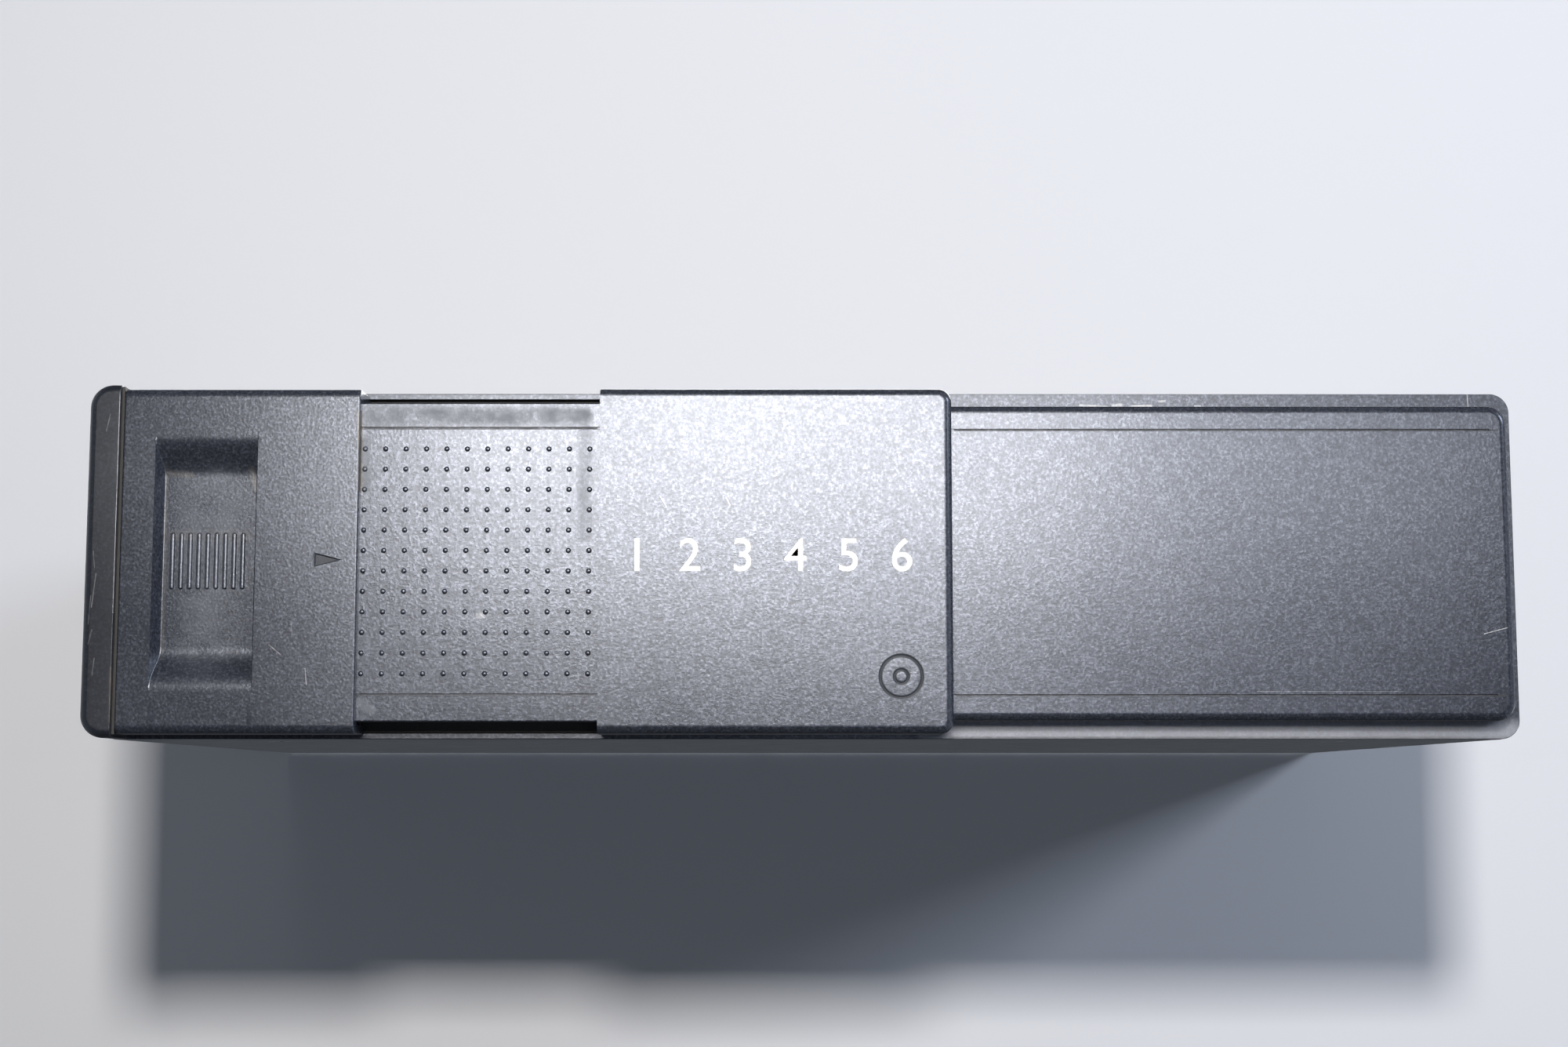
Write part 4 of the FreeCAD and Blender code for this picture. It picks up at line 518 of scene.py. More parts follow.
def newPiece(name, work, material):
    # a finished bmesh as an object, its faces turned outward
    mesh = bpy.data.meshes.new(name)
    bmesh.ops.recalc_face_normals(work, faces=work.faces)
    work.to_mesh(mesh)
    work.free()
    piece = bpy.data.objects.new(name, mesh)
    bpy.context.scene.collection.objects.link(piece)
    mesh.materials.append(material)
    return piece


def evenShading(piece, angle=34):
    # large flat faces keep their own normal, small round ones blend, and edges over the angle stay sharp
    piece.data.shade_smooth()
    piece.data.set_sharp_from_angle(angle=math.radians(angle))
    even = piece.modifiers.new("shading", "WEIGHTED_NORMAL")
    even.keep_sharp = True
    even.weight = 60
    applyModifiers(piece)


def applyModifiers(piece):
    graph = bpy.context.evaluated_depsgraph_get()
    graph.update()
    made = bpy.data.meshes.new_from_object(piece.evaluated_get(graph))
    piece.modifiers.clear()
    piece.data = made


def cleanCopy(nodeName, pieceName):
    # the node's own shape as a new mesh, its flat faces joined, so that edges can be rounded
    mesh = nodes[nodeName].data.copy()
    piece = bpy.data.objects.new(pieceName, mesh)
    bpy.context.scene.collection.objects.link(piece)
    work = bmesh.new()
    work.from_mesh(mesh)
    bmesh.ops.remove_doubles(work, verts=work.verts, dist=0.002 * mm)
    bmesh.ops.dissolve_limit(
        work, angle_limit=math.radians(0.6), verts=work.verts, edges=work.edges, delimit={"MATERIAL"}
    )
    work.to_mesh(mesh)
    work.free()
    return piece


def roundEdges(piece, width):
    bevel = piece.modifiers.new("edges", "BEVEL")
    bevel.width = width * mm
    bevel.segments = 2
    bevel.limit_method = "ANGLE"
    bevel.angle_limit = math.radians(40)
    bevel.miter_outer = "MITER_ARC"
    bevel.use_clamp_overlap = True
    applyModifiers(piece)


def settle(piece, nodeName, body):
    # the piece moves with its body and stands for the node
    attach(piece, body)
    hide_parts(nodeName)


def smoothStep(t):
    # from 0 to 1 with no kink in slope or curvature at either end
    t = min(max(t, 0.0), 1.0)
    return t * t * t * (t * (6 * t - 15) + 10)


def joinRings(work, rings):
    # a quad between each side of one ring of corners and the same side of the next
    for a, b in zip(rings, rings[1:]):
        for i in range(len(a)):
            j = (i + 1) % len(a)
            work.faces.new((a[i], a[j], b[j], b[i]))


def closeEnds(work, rings):
    work.faces.new(rings[0][::-1])
    work.faces.new(rings[-1])


def prism(work, outline, low, high):
    # a closed outline of y and z pushed along x, in millimetres
    rings = [[work.verts.new(Vector((x, y, z)) * mm) for y, z in outline] for x in (low, high)]
    joinRings(work, rings)
    closeEnds(work, rings)


# the sliding leaf: thumb grip with its scooped recess, ribs and pointer, and the plate with its pips
leafX, leafY, leafZ = boxOf("door_leaf")
gripLeft, gripRight = leafX[0], leafX[0] + 42.2
gripFace = frontFace + 0.6
leafShape = {
    "left": gripLeft, "right": gripRight, "face": gripFace, "low": leafZ[0], "high": leafZ[1],
    "round": 1.6, "endRound": 0.35,
    # the channel behind the face, with a lip that runs in each guide slot
    "back": leafY[1], "inner": gripFace + 3.4, "wallLow": leafZ[0] + 1.7, "wallHigh": leafZ[1] - 1.7,
    "lipFront": gripFace + 6.0, "lipBack": gripFace + 7.4,
    "lipLow": leafZ[0] + 3.3, "lipHigh": leafZ[1] - 3.3,
    "recessLeft": gripLeft + 5.8, "recessRight": gripLeft + 24.1,
    "recessLow": leafZ[0] + 7.2, "recessHigh": leafZ[1] - 8.2, "recessDepth": 2.4,
    "topRamp": 7.8, "footRamp": 8.6, "leftSlope": 1.9, "rightSlope": 4.0, "crease": 0.07,
    "rampStep": 0.16, "leftStep": 0.07, "rightStep": 0.06,  # how closely the recess's walls are followed
    "ribs": 9, "ribPitch": 1.57, "ribWidth": 0.9, "ribHeight": 0.42, "ribLength": 10.2, "ribShift": 0.1,
    "arrowTip": gripRight - 2.6, "arrowLength": 5.1, "arrowHeight": 2.6, "arrowDepth": 0.32,
    "plateFace": gripFace + 1.8, "plateRight": leafX[1], "plateRound": 0.25,
    "plateLow": leafZ[0] + 2.2, "plateHigh": leafZ[1] - 2.3,
    "lineInset": 7.6, "lineWidth": 0.4, "lineDepth": 0.3,
    "pips": 12, "pipAcross": 3.66, "pipUp": 3.66, "pipRadius": 0.43, "pipHeight": 0.34,
    "pipMiddle": gripRight + 20.85, "pipSides": 14,
}


def softMin(values, softness):
    # the smallest value, with the crease between two of them rounded
    low = min(values)
    return low - softness * math.log(sum(math.exp(-(v - low) / softness) for v in values))


def recessDepthAt(x, z):
    # ramps at the head and foot, steep walls at the sides, and a level floor between them
    s = leafShape
    if not (s["recessLeft"] < x < s["recessRight"] and s["recessLow"] < z < s["recessHigh"]):
        return 0.0
    along = min((z - s["recessLow"]) / s["footRamp"], (s["recessHigh"] - z) / s["topRamp"])
    scoop = s["recessDepth"] * smoothStep(along)
    sides = ((x - s["recessLeft"]) * s["leftSlope"], (s["recessRight"] - x) * s["rightSlope"])
    return max(0.0, softMin((scoop, *sides), s["crease"]))


def arcPoints(centre, radius, start, end, steps):
    # points on an arc, its angles in degrees
    turns = [math.radians(start + (end - start) * i / steps) for i in range(steps + 1)]
    return [(centre[0] + radius * math.cos(turn), centre[1] + radius * math.sin(turn)) for turn in turns]


def gripStations():
    # where the grip's section is drawn: close together at the rounded ends and the recess's walls
    s = leafShape
    stations = [s["left"], s["right"]]
    for part in (0.03, 0.12, 0.3, 0.6, 1.0):
        stations += [s["left"] + s["endRound"] * part, s["right"] - s["endRound"] * part]
    stations += [s["recessLeft"] + s["leftStep"] * i for i in range(-1, 22)]
    stations += [s["recessRight"] - s["rightStep"] * i for i in range(-1, 16)]
    stations += [s["recessLeft"] + 3, (s["recessLeft"] + s["recessRight"]) / 2, s["recessRight"] - 2]
    return sorted(stations)


def gripShell(work):
    # one closed section of the channel at each station along the grip, joined from end to end
    s = leafShape
    r, e = s["round"], s["endRound"]
    levels = [s["recessLow"], s["recessHigh"]]
    for i in range(1, int(s["footRamp"] / s["rampStep"]) + 2):
        levels += [s["recessLow"] + i * s["rampStep"], s["recessHigh"] - i * s["rampStep"]]
    levels += [s["recessLow"] - 0.4, s["recessHigh"] + 0.4]
    outer = [(s["back"], s["low"])]
    outer += arcPoints((s["face"] + r, s["low"] + r), r, 270, 180, 8)
    outer += [(s["face"], z) for z in sorted(levels)]
    outer += arcPoints((s["face"] + r, s["high"] - r), r, 180, 90, 8)
    outer += [(s["back"], s["high"])]
    inner = [
        (s["back"], s["wallHigh"]), (s["lipBack"], s["wallHigh"]), (s["lipBack"], s["lipHigh"]),
        (s["lipFront"], s["lipHigh"]), (s["lipFront"], s["wallHigh"]), (s["inner"], s["wallHigh"]),
        (s["inner"], s["wallLow"]), (s["lipFront"], s["wallLow"]), (s["lipFront"], s["lipLow"]),
        (s["lipBack"], s["lipLow"]), (s["lipBack"], s["wallLow"]), (s["back"], s["wallLow"]),
    ]
    rings = []
    for x in gripStations():
        edge = min(x - s["left"], s["right"] - x)
        pull = e - math.sqrt(max(0.0, e * e - max(0.0, e - edge) ** 2))  # how far the rounded end draws in
        ring = []
        for y, z in outer:
            if y < s["face"] + r - 0.01:
                y += pull * 0.9
            if abs(y - s["face"]) < 0.5:
                y += recessDepthAt(x, z)
            if z < s["low"] + r:
                z += pull * 0.6
            elif z > s["high"] - r:
                z -= pull * 0.6
            ring.append((x, y, z))
        ring += [(x, y, z) for y, z in inner]
        rings.append([work.verts.new(Vector(spot) * mm) for spot in ring])
    joinRings(work, rings)
    closeEnds(work, rings)


def ribBar(work, x, y, low, high, width, height):
    # a half-round bar with round ends, its foot sunk a little into the floor it stands on
    half, foot = width / 2, y + 0.12
    turns = [math.radians(a) for a in (8, 30, 55, 78)]
    stations = [(low + half - half * math.cos(turn), math.sin(turn)) for turn in turns]
    stations += [(low + high - z, share) for z, share in reversed(stations)]
    rings = []
    for z, share in stations:
        reach, rise = half * share, height * share**0.6
        ring = [
            (x - reach * math.cos(turn), y - rise * math.sin(turn) ** 0.55, z)
            for turn in (math.pi * i / 8 for i in range(9))
        ]
        ring += [(x + reach, foot, z), (x - reach, foot, z)]
        rings.append([work.verts.new(Vector(spot) * mm) for spot in ring])
    joinRings(work, rings)
    closeEnds(work, rings)


def ringOfPoints(work, x, y, z, radius, sides):
    # corners round a circle that faces the front
    turns = [math.tau * i / sides for i in range(sides)]
    spots = [(x + radius * math.cos(turn), y, z + radius * math.sin(turn)) for turn in turns]
    return [work.verts.new(Vector(spot) * mm) for spot in spots]


def pipDome(work, x, y, z, radius, height, sides):
    # a small dome with a tight root fillet, closed below the face that it rises from
    profile = [(1.2, -0.03), (1.02, 0.08), (0.95, 0.4), (0.86, 0.72), (0.7, 0.9), (0.42, 0.975)]
    rings = [ringOfPoints(work, x, y - height * up, z, radius * across, sides) for across, up in profile]
    top = work.verts.new(Vector((x, y - height, z)) * mm)
    joinRings(work, rings)
    for i in range(sides):
        work.faces.new((rings[-1][i], rings[-1][(i + 1) % sides], top))
    work.faces.new(rings[0][::-1])


def groovedOutline(face, back, low, high, lines, width, depth, corner):
    # section of a flat plate with a small radius on its front edges and a narrow groove at each line
    outline = [(back, low)]
    outline += arcPoints((face + corner, low + corner), corner, 270, 180, 4)
    for middle in sorted(lines):
        a, b = middle - width / 2, middle + width / 2
        outline += [(face, a - 0.05), (face + 0.05, a), (face + depth, a + 0.03), (face + depth, b - 0.03)]
        outline += [(face + 0.05, b), (face, b + 0.05)]
    outline += arcPoints((face + corner, high - corner), corner, 180, 90, 4)
    outline.append((back, high))
    return outline


def carve(piece, tool):
    # takes the tool's shape out of the piece, and the tool goes
    cut = piece.modifiers.new("cut", "BOOLEAN")
    cut.operation = "DIFFERENCE"
    cut.solver = "EXACT"
    cut.material_mode = "TRANSFER"
    cut.object = tool
    applyModifiers(piece)
    bpy.data.objects.remove(tool)


def pointerTool():
    # a flat triangle with sloping sides, to be taken out of the grip
    s = leafShape
    tip, tail, half = s["arrowTip"], s["arrowTip"] - s["arrowLength"], s["arrowHeight"] / 2
    work = bmesh.new()
    rings = []
    for depth, shrink in ((-1, 0.0), (-0.01, 0.0), (s["arrowDepth"], s["arrowDepth"])):
        y = s["face"] + depth
        inset = half - shrink * 0.9
        spots = [
            (tail + shrink, y, middleHeight - inset), (tip - shrink * 3, y, middleHeight),
            (tail + shrink, y, middleHeight + inset),
        ]
        rings.append([work.verts.new(Vector(spot) * mm) for spot in spots])
    joinRings(work, rings)
    closeEnds(work, rings)
    return newPiece("pointerTool", work, sunkAbs)


def plateWithPips(work):
    # the grooved plate, the ribs on the recess's floor, and rows and columns of pips
    s = leafShape
    lines = (s["lineInset"], frontHeight - s["lineInset"])
    plate = groovedOutline(
        s["plateFace"], s["inner"], s["plateLow"], s["plateHigh"],
        lines, s["lineWidth"], s["lineDepth"], s["plateRound"],
    )
    prism(work, plate, s["right"] - 1.0, s["plateRight"])
    middle = (s["recessLeft"] + s["recessRight"]) / 2 + s["ribShift"]
    floor, half = s["face"] + s["recessDepth"] + 0.02, s["ribLength"] / 2
    for i in range(s["ribs"]):
        x = middle + (i - (s["ribs"] - 1) / 2) * s["ribPitch"]
        ribBar(work, x, floor, middleHeight - half, middleHeight + half, s["ribWidth"], s["ribHeight"])
    offsets = [i - (s["pips"] - 1) / 2 for i in range(s["pips"])]
    for across in offsets:
        for up in offsets:
            x, z = s["pipMiddle"] + across * s["pipAcross"], middleHeight + up * s["pipUp"]
            pipDome(work, x, s["plateFace"], z, s["pipRadius"], s["pipHeight"], s["pipSides"])


def buildLeaf():
    work = bmesh.new()
    gripShell(work)
    piece = newPiece("slidingLeaf", work, frontAbs)
    carve(piece, pointerTool())
    evenShading(piece, 30)
    work = bmesh.new()
    plateWithPips(work)
    detail = newPiece("leafPlateAndPips", work, frontAbs)
    evenShading(detail, 40)
    detail.parent = piece
    settle(piece, "door_leaf", "leaf")


buildLeaf()
print("sliding leaf made")


def dressCopy(nodeName, pieceName, body, width):
    # the node's own shape with its edges rounded
    piece = cleanCopy(nodeName, pieceName)
    assign(piece, materials[slotOf[nodeName]])
    roundEdges(piece, width)
    evenShading(piece)
    settle(piece, nodeName, body)


def finishWhere(piece, material, chosen):
    # a second finish on the faces whose middle, in millimetres, is chosen
    piece.data.materials.append(material)
    slotIndex = len(piece.data.materials) - 1
    for face in piece.data.polygons:
        if chosen(face.center / mm):
            face.material_index = slotIndex


# the fixed frame of the front: its left end cap has a wide round front edge, its guide slots are painted near
# black as shade
capRight = gripLeft - 0.6
frameShape = {
    "panelLeft": boxOf("fixed_panel")[0][0], "capRight": capRight, "capRound": 1.5, "capRoundSteps": 7,
    "edge": 0.16, "slotFront": frontFace + 7.0, "slotInside": frontFace + 10.5, "slotBack": frontFace + 12.7,
    "lowSlot": (1.15, 3.4), "highSlot": (frontHeight - 3.4, frontHeight - 1.15),
}


def inGuideSlot(p):
    s = frameShape
    if not (s["capRight"] < p.x < s["panelLeft"] and s["slotFront"] < p.y < s["slotBack"]):
        return False
    return p.y > s["slotInside"] or any(low < p.z < high for low, high in (s["lowSlot"], s["highSlot"]))


def buildFrame():
    s = frameShape
    piece = cleanCopy("front_bezel", "bezelFrame")
    assign(piece, railAbs)
    work = bmesh.new()
    work.from_mesh(piece.data)
    outer = []
    for edge in work.edges:
        a, b = (v.co / mm for v in edge.verts)
        onFront = abs(a.y - frontFace) < 0.05 and abs(b.y - frontFace) < 0.05
        if onFront and (a.x + b.x) / 2 < s["capRight"] - 0.3:
            outer.append(edge)
    bmesh.ops.bevel(
        work, geom=outer, offset=s["capRound"] * mm, offset_type="OFFSET", segments=s["capRoundSteps"],
        profile=0.5, affect="EDGES", clamp_overlap=True,
    )
    work.to_mesh(piece.data)
    work.free()
    roundEdges(piece, s["edge"])
    finishWhere(piece, capAbs, lambda p: p.x < s["capRight"] + 0.05 and p.y < s["slotBack"])
    # the faces inside the guide slots take the near-black painted shade
    finishWhere(piece, slotShadeAbs, inGuideSlot)
    evenShading(piece)
    settle(piece, "front_bezel", "case")
    return piece


bezel = buildFrame()


# the rib inside the cap that the closed leaf stops against, seen only as a dark line between them; it takes
# the guide slots' near-black painted shade
stopShape = {
    "front": gripFace + 0.6, "back": frontFace + 10.5, "low": 0.6, "high": frontHeight - 0.25,
    "left": capRight - 0.5, "right": gripLeft - 0.12, "edge": 0.1,
}


def buildCapStop():
    s = stopShape
    section = [(s["front"], s["low"]), (s["back"], s["low"]), (s["back"], s["high"]), (s["front"], s["high"])]
    work = bmesh.new()
    prism(work, section, s["left"], s["right"])
    # near-black painted shade, so that the gap reads dark
    piece = newPiece("capStopRib", work, slotShadeAbs)
    roundEdges(piece, s["edge"])
    evenShading(piece)
    piece.parent = bezel


buildCapStop()
dressCopy("fixed_panel", "fixedPanel", "case", 0.12)
print("fixed frame and panel made")


# the sliding cover, with numbers one to six for the discs and a plain ring sunk in its corner
coverX = boxOf("door_cover")[0]
coverShape = {
    "face": frontFace, "inkBack": 0.03, "inkFace": 0.002, "inkColour": "#f1f1ee", "wornInk": "#d3d3d1",
    "digits": "123456", "digitHeight": 6.1, "digitShare": 0.73, "digitBolder": 0.04,
    "digitLeft": coverX[0] + 6.8, "digitPitch": 9.4, "digitFoot": 29.5,
    "ringAt": (coverX[1] - 9.3, 10.8), "ringRadii": (3.7, 1.2),
    "ringLine": 0.8, "ringDepth": 0.34, "ringSides": 56,
}


def ringCutter(work, radius):
    # a ring whose sides slope in to a narrow floor, to be taken out of the cover
    s = coverShape
    x, z = s["ringAt"]
    front, wide, narrow = s["face"] + s["inkBack"], s["ringLine"] / 2, s["ringLine"] / 8
    section = (
        (-wide, front - 1), (-wide, front - 0.01), (-narrow, front + s["ringDepth"]),
        (narrow, front + s["ringDepth"]), (wide, front - 0.01), (wide, front - 1),
    )
    rings = [ringOfPoints(work, x, y, z, radius + across, s["ringSides"]) for across, y in section]
    joinRings(work, rings + rings[:1])


def buildCover():
    s = coverShape
    piece = cleanCopy("door_cover", "slidingCover")
    assign(piece, frontAbs)
    # the face goes back by the thickness of the ink, so that the numbers stay inside the part
    for vertex in piece.data.vertices:
        if vertex.co.y < (s["face"] + 0.02) * mm:
            vertex.co.y = (s["face"] + s["inkBack"]) * mm
    work = bmesh.new()
    for radius in s["ringRadii"]:
        ringCutter(work, radius)
    carve(piece, newPiece("ringTool", work, sunkAbs))
    evenShading(piece, 32)
    settle(piece, "door_cover", "cover")
    return piece


cover = buildCover()
print("sliding cover made")


def padPrintInk():
    # white two-part ink laid on with a silicone pad: flat, even, with a slightly broken edge
    material, tree, place = newMaterial("padPrintedInk")
    speck = addNode(tree, "ShaderNodeTexNoise", {"Vector": place, "Scale": perMetre(0.5), "Detail": 3})
    marking = addNode(tree, "ShaderNodeMapRange", {0: speck, 1: 0.55, 2: 0.75})
    fresh, thin = hexColour(coverShape["inkColour"]), hexColour(coverShape["wornInk"])
    tone = addNode(tree, "ShaderNodeMix", {0: marking, 6: fresh, 7: thin}, 2, data_type="RGBA")
    bump = addNode(tree, "ShaderNodeBump", {"Height": speck, "Strength": 0.4, "Distance": 0.01 * mm})
    closeMaterial(tree, {"Base Color": tone, "Roughness": 0.5, "Normal": bump})
    return material


def printDigits():
    # each number is drawn in the built-in font and kept as a thin solid of ink
    s = coverShape
    ink = padPrintInk()
    for i, digit in enumerate(s["digits"]):
        text = bpy.data.curves.new("digit" + digit, "FONT")
        text.body = digit
        text.size = s["digitHeight"] / s["digitShare"] * mm
        text.extrude = (s["inkBack"] - s["inkFace"]) / 2 * mm
        text.offset = s["digitBolder"] * mm
        text.align_x = "CENTER"
        holder = bpy.data.objects.new("digit" + digit, text)
        bpy.context.scene.collection.objects.link(holder)
        holder.rotation_euler = (math.radians(90), 0, 0)
        x, y = s["digitLeft"] + i * s["digitPitch"], s["face"] + (s["inkBack"] + s["inkFace"]) / 2
        holder.location = Vector((x, y, s["digitFoot"])) * mm
        bpy.context.view_layer.update()
        mesh = bpy.data.meshes.new_from_object(holder)
        mesh.transform(holder.matrix_world)
        bpy.data.objects.remove(holder)
        mesh.materials.clear()
        mesh.materials.append(ink)
        piece = bpy.data.objects.new("printedNumber" + digit, mesh)
        bpy.context.scene.collection.objects.link(piece)
        piece.parent = cover


printDigits()
print("numbers printed")


# the parts seen from outside or through the open front, with the small bends and rounds of the real ones
softenedParts = {
    # node: piece, body, width of the round
    "top_lid": ("foldedLid", "case", 0.45),
    "chassis_tray": ("foldedTray", "case", 0.2),
    "case_screws": ("lidScrews", "case", 0.14),
    "angle_dial_left": ("leftAngleDial", "dial_left", 0.3),
    "angle_dial_right": ("rightAngleDial", "dial_right", 0.3),
    "rear_socket": ("rearSocket", "case", 0.3),
    "eject_button": ("ejectButton", "button", 0.5),
}
for nodeName, (pieceName, body, width) in softenedParts.items():
    dressCopy(nodeName, pieceName, body, width)
trayRound, trayCount = 0.15, 6
for number in range(1, trayCount + 1):
    dressCopy("tray_%d" % number, "discTray%d" % number, "tray_%d" % number, trayRound)
print("outer parts softened:", len(softenedParts) + trayCount)


# the four coils that carry the floating frame, with closed ends
springShape = {
    "wire": 0.45, "radius": 6.2, "turns": 5.0, "endTurn": 0.8, "endPitch": 1.9, "low": 1.06, "high": 8.84,
    "travel": 1.2, "steps": 26, "sides": 8, "splitX": -50, "splitY": 0,
}


def springPlaces():
    # the middle of each coil, read from the frame's own spring node, whose coils lie round one place
    s = springShape
    corners = {}
    for vertex in nodes["suspension_springs"].data.vertices:
        x, y, z = vertex.co / mm
        box = corners.setdefault((x > s["splitX"], y > s["splitY"]), [x, x, y, y])
        box[:] = [min(box[0], x), max(box[1], x), min(box[2], y), max(box[3], y)]
    return [((a + b) / 2, (c + d) / 2) for a, b, c, d in corners.values()]


def coilHeight(turn):
    # nearly flat end turns, and an even climb between them
    s = springShape
    low, high = s["low"] + s["wire"], s["high"] - s["wire"]
    pitch = s["wire"] * s["endPitch"]
    share = (turn - s["endTurn"]) / (s["turns"] - 2 * s["endTurn"])
    if share < 0:
        return low + pitch * turn
    if share > 1:
        return high - pitch * (s["turns"] - turn)
    start, end = low + pitch * s["endTurn"], high - pitch * s["endTurn"]
    return start + (end - start) * share


def buildSprings():
    s = springShape
    work = bmesh.new()
    count = int(s["turns"] * s["steps"])
    for x, y in springPlaces():
        rings = []
        for i in range(count + 1):
            turn = s["turns"] * i / count
            angle, rise = math.tau * turn, coilHeight(turn)
            ring = []
            for k in range(s["sides"]):
                around = math.tau * k / s["sides"]
                out = s["radius"] + s["wire"] * math.cos(around)
                up = rise + s["wire"] * math.sin(around)
                spot = (x + out * math.cos(angle), y + out * math.sin(angle), up)
                ring.append(work.verts.new(Vector(spot) * mm))
            rings.append(ring)
        joinRings(work, rings)
        closeEnds(work, rings)
    piece = newPiece("frameSprings", work, materials["spring_steel"])
    evenShading(piece, 50)
    settle(piece, "suspension_springs", "case")
    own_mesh(piece)


buildSprings()
print("springs wound")


# plain pale table and wall, each seen from one side only
stageLook = {
    "colour": "#e9edf4", "shade": "#e5e9f0", "roughness": 0.3, "patchSize": 900,
    "wallGap": 0.6, "floorGap": 0.05, "reach": 4000, "bounceReach": 2000, "bounceGap": 8,
}


def paleBoard():
    # flat paint that can't be seen from behind
    look = stageLook
    material, tree, place = newMaterial("palePaintedBoard")
    wide = {"Vector": place, "Scale": perMetre(look["patchSize"]), "Detail": 2}
    cloud = addNode(tree, "ShaderNodeTexNoise", wide)
    cloud = addNode(tree, "ShaderNodeMapRange", {0: cloud, 1: 0.3, 2: 0.7})
    tones = {0: cloud, 6: hexColour(look["colour"]), 7: hexColour(look["shade"])}
    tone = addNode(tree, "ShaderNodeMix", tones, 2, data_type="RGBA")
    face = addNode(tree, "ShaderNodeBsdfDiffuse", {"Color": tone, "Roughness": look["roughness"]})
    clear = addNode(tree, "ShaderNodeBsdfTransparent")
    behind = addNode(tree, "ShaderNodeNewGeometry", out="Backfacing")
    both = addNode(tree, "ShaderNodeMixShader", {0: behind, 1: face, 2: clear})
    addNode(tree, "ShaderNodeOutputMaterial", {"Surface": both})
    return material


def board(name, quads, seen):
    # a board of plain quads, seen either by the eye or only in the reflections on the sides and back
    corners = [corner for quad in quads for corner in quad]
    mesh = bpy.data.meshes.new(name)
    mesh.from_pydata(corners, [], [tuple(range(4 * i, 4 * i + 4)) for i in range(len(quads))])
    mesh.materials.append(paint)
    obj = bpy.data.objects.new(name, mesh)
    bpy.context.scene.collection.objects.link(obj)
    obj.visible_shadow = False
    obj.visible_camera = seen
    obj.visible_glossy = not seen
    obj.visible_diffuse = False


def flat(x0, y0, x1, y1, z):
    return [(x0, y0, z), (x1, y0, z), (x1, y1, z), (x0, y1, z)]


paint = paleBoard()
front, floorZ = cadBox[0][1], cadBox[0][2] - stageLook["floorGap"] * mm
side, back = cadBox[1][0] + stageLook["bounceGap"] * mm, cadBox[1][1] + stageLook["wallGap"] * mm
far, near = stageLook["reach"] * mm, stageLook["bounceReach"] * mm
board("table", [flat(-far, -far, far, far, floorZ)], True)
board("wall", [[(-far, back, -far), (far, back, -far), (far, back, far), (-far, back, far)]], True)
bounce = [
    flat(-near, back, near, near, floorZ),
    flat(-near, front, -side, back, floorZ),
    flat(side, front, near, back, floorZ),
]
board("tableBounce", bounce, False)

# what each light is seen by: "matt" surfaces take it as plain light, "gloss" as a reflection
lights = {
    "keyLamp": {
        "at": (4, -677, 226), "aim": (0, 0, 20), "size": (60, 60),
        "watts": 4.4, "colour": "#fff8f0", "seenBy": "matt",
    },
    "softBox": {
        "at": (-26, -677, 160), "aim": (-14, -82, 50), "size": (305, 142),
        "watts": 4.5, "colour": "#fffaf2", "seenBy": "gloss",
    },
    "sideBox": {
        "at": (215, -660, 150), "aim": (70, -82, 40), "size": (180, 130),
        "watts": 0.62, "colour": "#ffffff", "seenBy": "gloss",
    },
    "highBox": {
        "at": (-22, -640, 352), "aim": (-10, -82, 50), "size": (320, 200),
        "watts": 1.2, "colour": "#fffaf2", "seenBy": "gloss",
    },
    "lowBox": {
        "at": (120, -720, -75), "aim": (60, -82, 10), "size": (240, 50),
        "watts": 0.2, "colour": "#e6eeff", "seenBy": "gloss",
    },
    "rightFill": {
        "at": (900, -420, 420), "aim": (0, 0, 20), "size": (300, 300),
        "watts": 5.0, "colour": "#e8f0ff", "seenBy": "both",
    },
    "topSoft": {
        "at": (-100, 150, 1100), "aim": (0, 0, 0), "size": (900, 900),
        "watts": 5.0, "colour": "#ffffff", "seenBy": "matt",
    },
    "leftSoft": {
        "at": (-1200, 300, 500), "aim": (0, 0, 0), "size": (800, 800),
        "watts": 1.2, "colour": "#ffffff", "seenBy": "both",
    },
    "backSoft": {
        "at": (300, 1300, 500), "aim": (0, 0, 20), "size": (900, 700),
        "watts": 12.0, "colour": "#ffffff", "seenBy": "both",
    },
}
for name, light in lights.items():
    lamp = bpy.data.lights.new(name, "AREA")
    lamp.shape = "RECTANGLE"
    lamp.size, lamp.size_y = (s * mm for s in light["size"])
    lamp.energy = light["watts"]
    lamp.color = hexColour(light["colour"])[:3]
    holder = bpy.data.objects.new(name, lamp)
    holder.location = Vector(light["at"]) * mm
    aim = Vector(light["aim"]) * mm - holder.location
    holder.rotation_euler = aim.to_track_quat("-Z", "Y").to_euler()
    holder.visible_glossy = light["seenBy"] != "matt"
    holder.visible_diffuse = light["seenBy"] != "gloss"
    bpy.context.scene.collection.objects.link(holder)

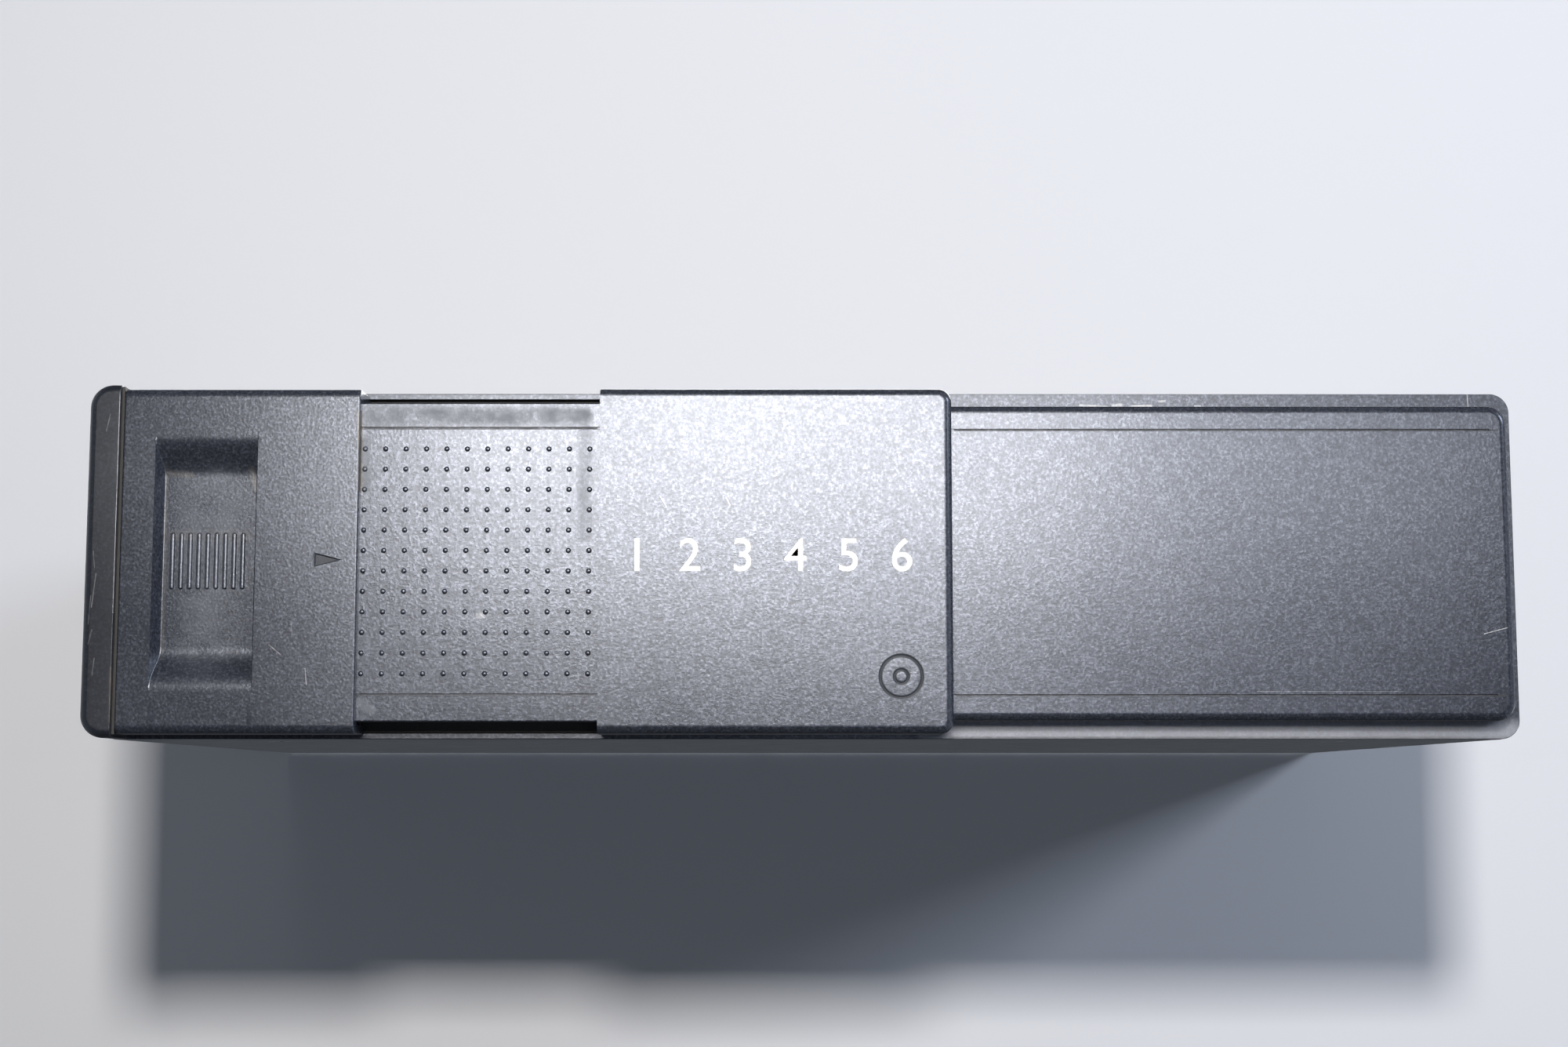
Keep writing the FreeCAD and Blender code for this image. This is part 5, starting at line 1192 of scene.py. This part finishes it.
# dim even air light; reflections also find two pale sides, and the eye a pale backdrop
airLight = {
    "colour": "#dfe6f2", "dim": 0.13, "sides": 0.55, "sidesFrom": 0.4, "sidesTo": 0.85,
    "backdrop": "#e6eaf1", "seen": 0.9,
}
world = bpy.data.worlds.new("studioAir")
bpy.context.scene.world = world
world.use_nodes = True
air = world.node_tree
air.nodes.clear()
toward = addNode(air, "ShaderNodeTexCoord", out="Generated")
across = addNode(air, "ShaderNodeSeparateXYZ", {"Vector": toward}, "X")
across = addNode(air, "ShaderNodeMath", {0: across}, operation="ABSOLUTE")
mirrored = addNode(air, "ShaderNodeLightPath", out="Is Glossy Ray")
rise = {0: across, 1: airLight["sidesFrom"], 2: airLight["sidesTo"], 3: 0.0, 4: airLight["sides"]}
sides = addNode(air, "ShaderNodeMapRange", rise, interpolation_type="SMOOTHSTEP")
added = {0: sides, 1: mirrored, 2: airLight["dim"]}
strength = addNode(air, "ShaderNodeMath", added, operation="MULTIPLY_ADD")
glow = addNode(air, "ShaderNodeBackground", {"Color": hexColour(airLight["colour"]), "Strength": strength})
backdrop = {"Color": hexColour(airLight["backdrop"]), "Strength": airLight["seen"]}
pale = addNode(air, "ShaderNodeBackground", backdrop)
seen = addNode(air, "ShaderNodeLightPath", out="Is Camera Ray")
both = addNode(air, "ShaderNodeMixShader", {0: seen, 1: glow, 2: pale})
addNode(air, "ShaderNodeOutputWorld", {"Surface": both})

cameraPlace = {"at": (-4.8, -489.7, -9.2), "up": 6.6, "right": 0.07, "lens": 52.97, "sensor": 36}
eye = bpy.data.cameras.new("studioCamera")
eye.lens = cameraPlace["lens"]
eye.sensor_width = cameraPlace["sensor"]
eye.clip_start = 0.01
camera = bpy.data.objects.new("studioCamera", eye)
camera.location = Vector(cameraPlace["at"]) * mm
camera.rotation_euler = (math.radians(90 + cameraPlace["up"]), 0, math.radians(-cameraPlace["right"]))
bpy.context.scene.collection.objects.link(camera)
bpy.context.scene.camera = camera
bpy.context.scene.view_settings.view_transform = "Standard"
print("stage, lights and camera set")
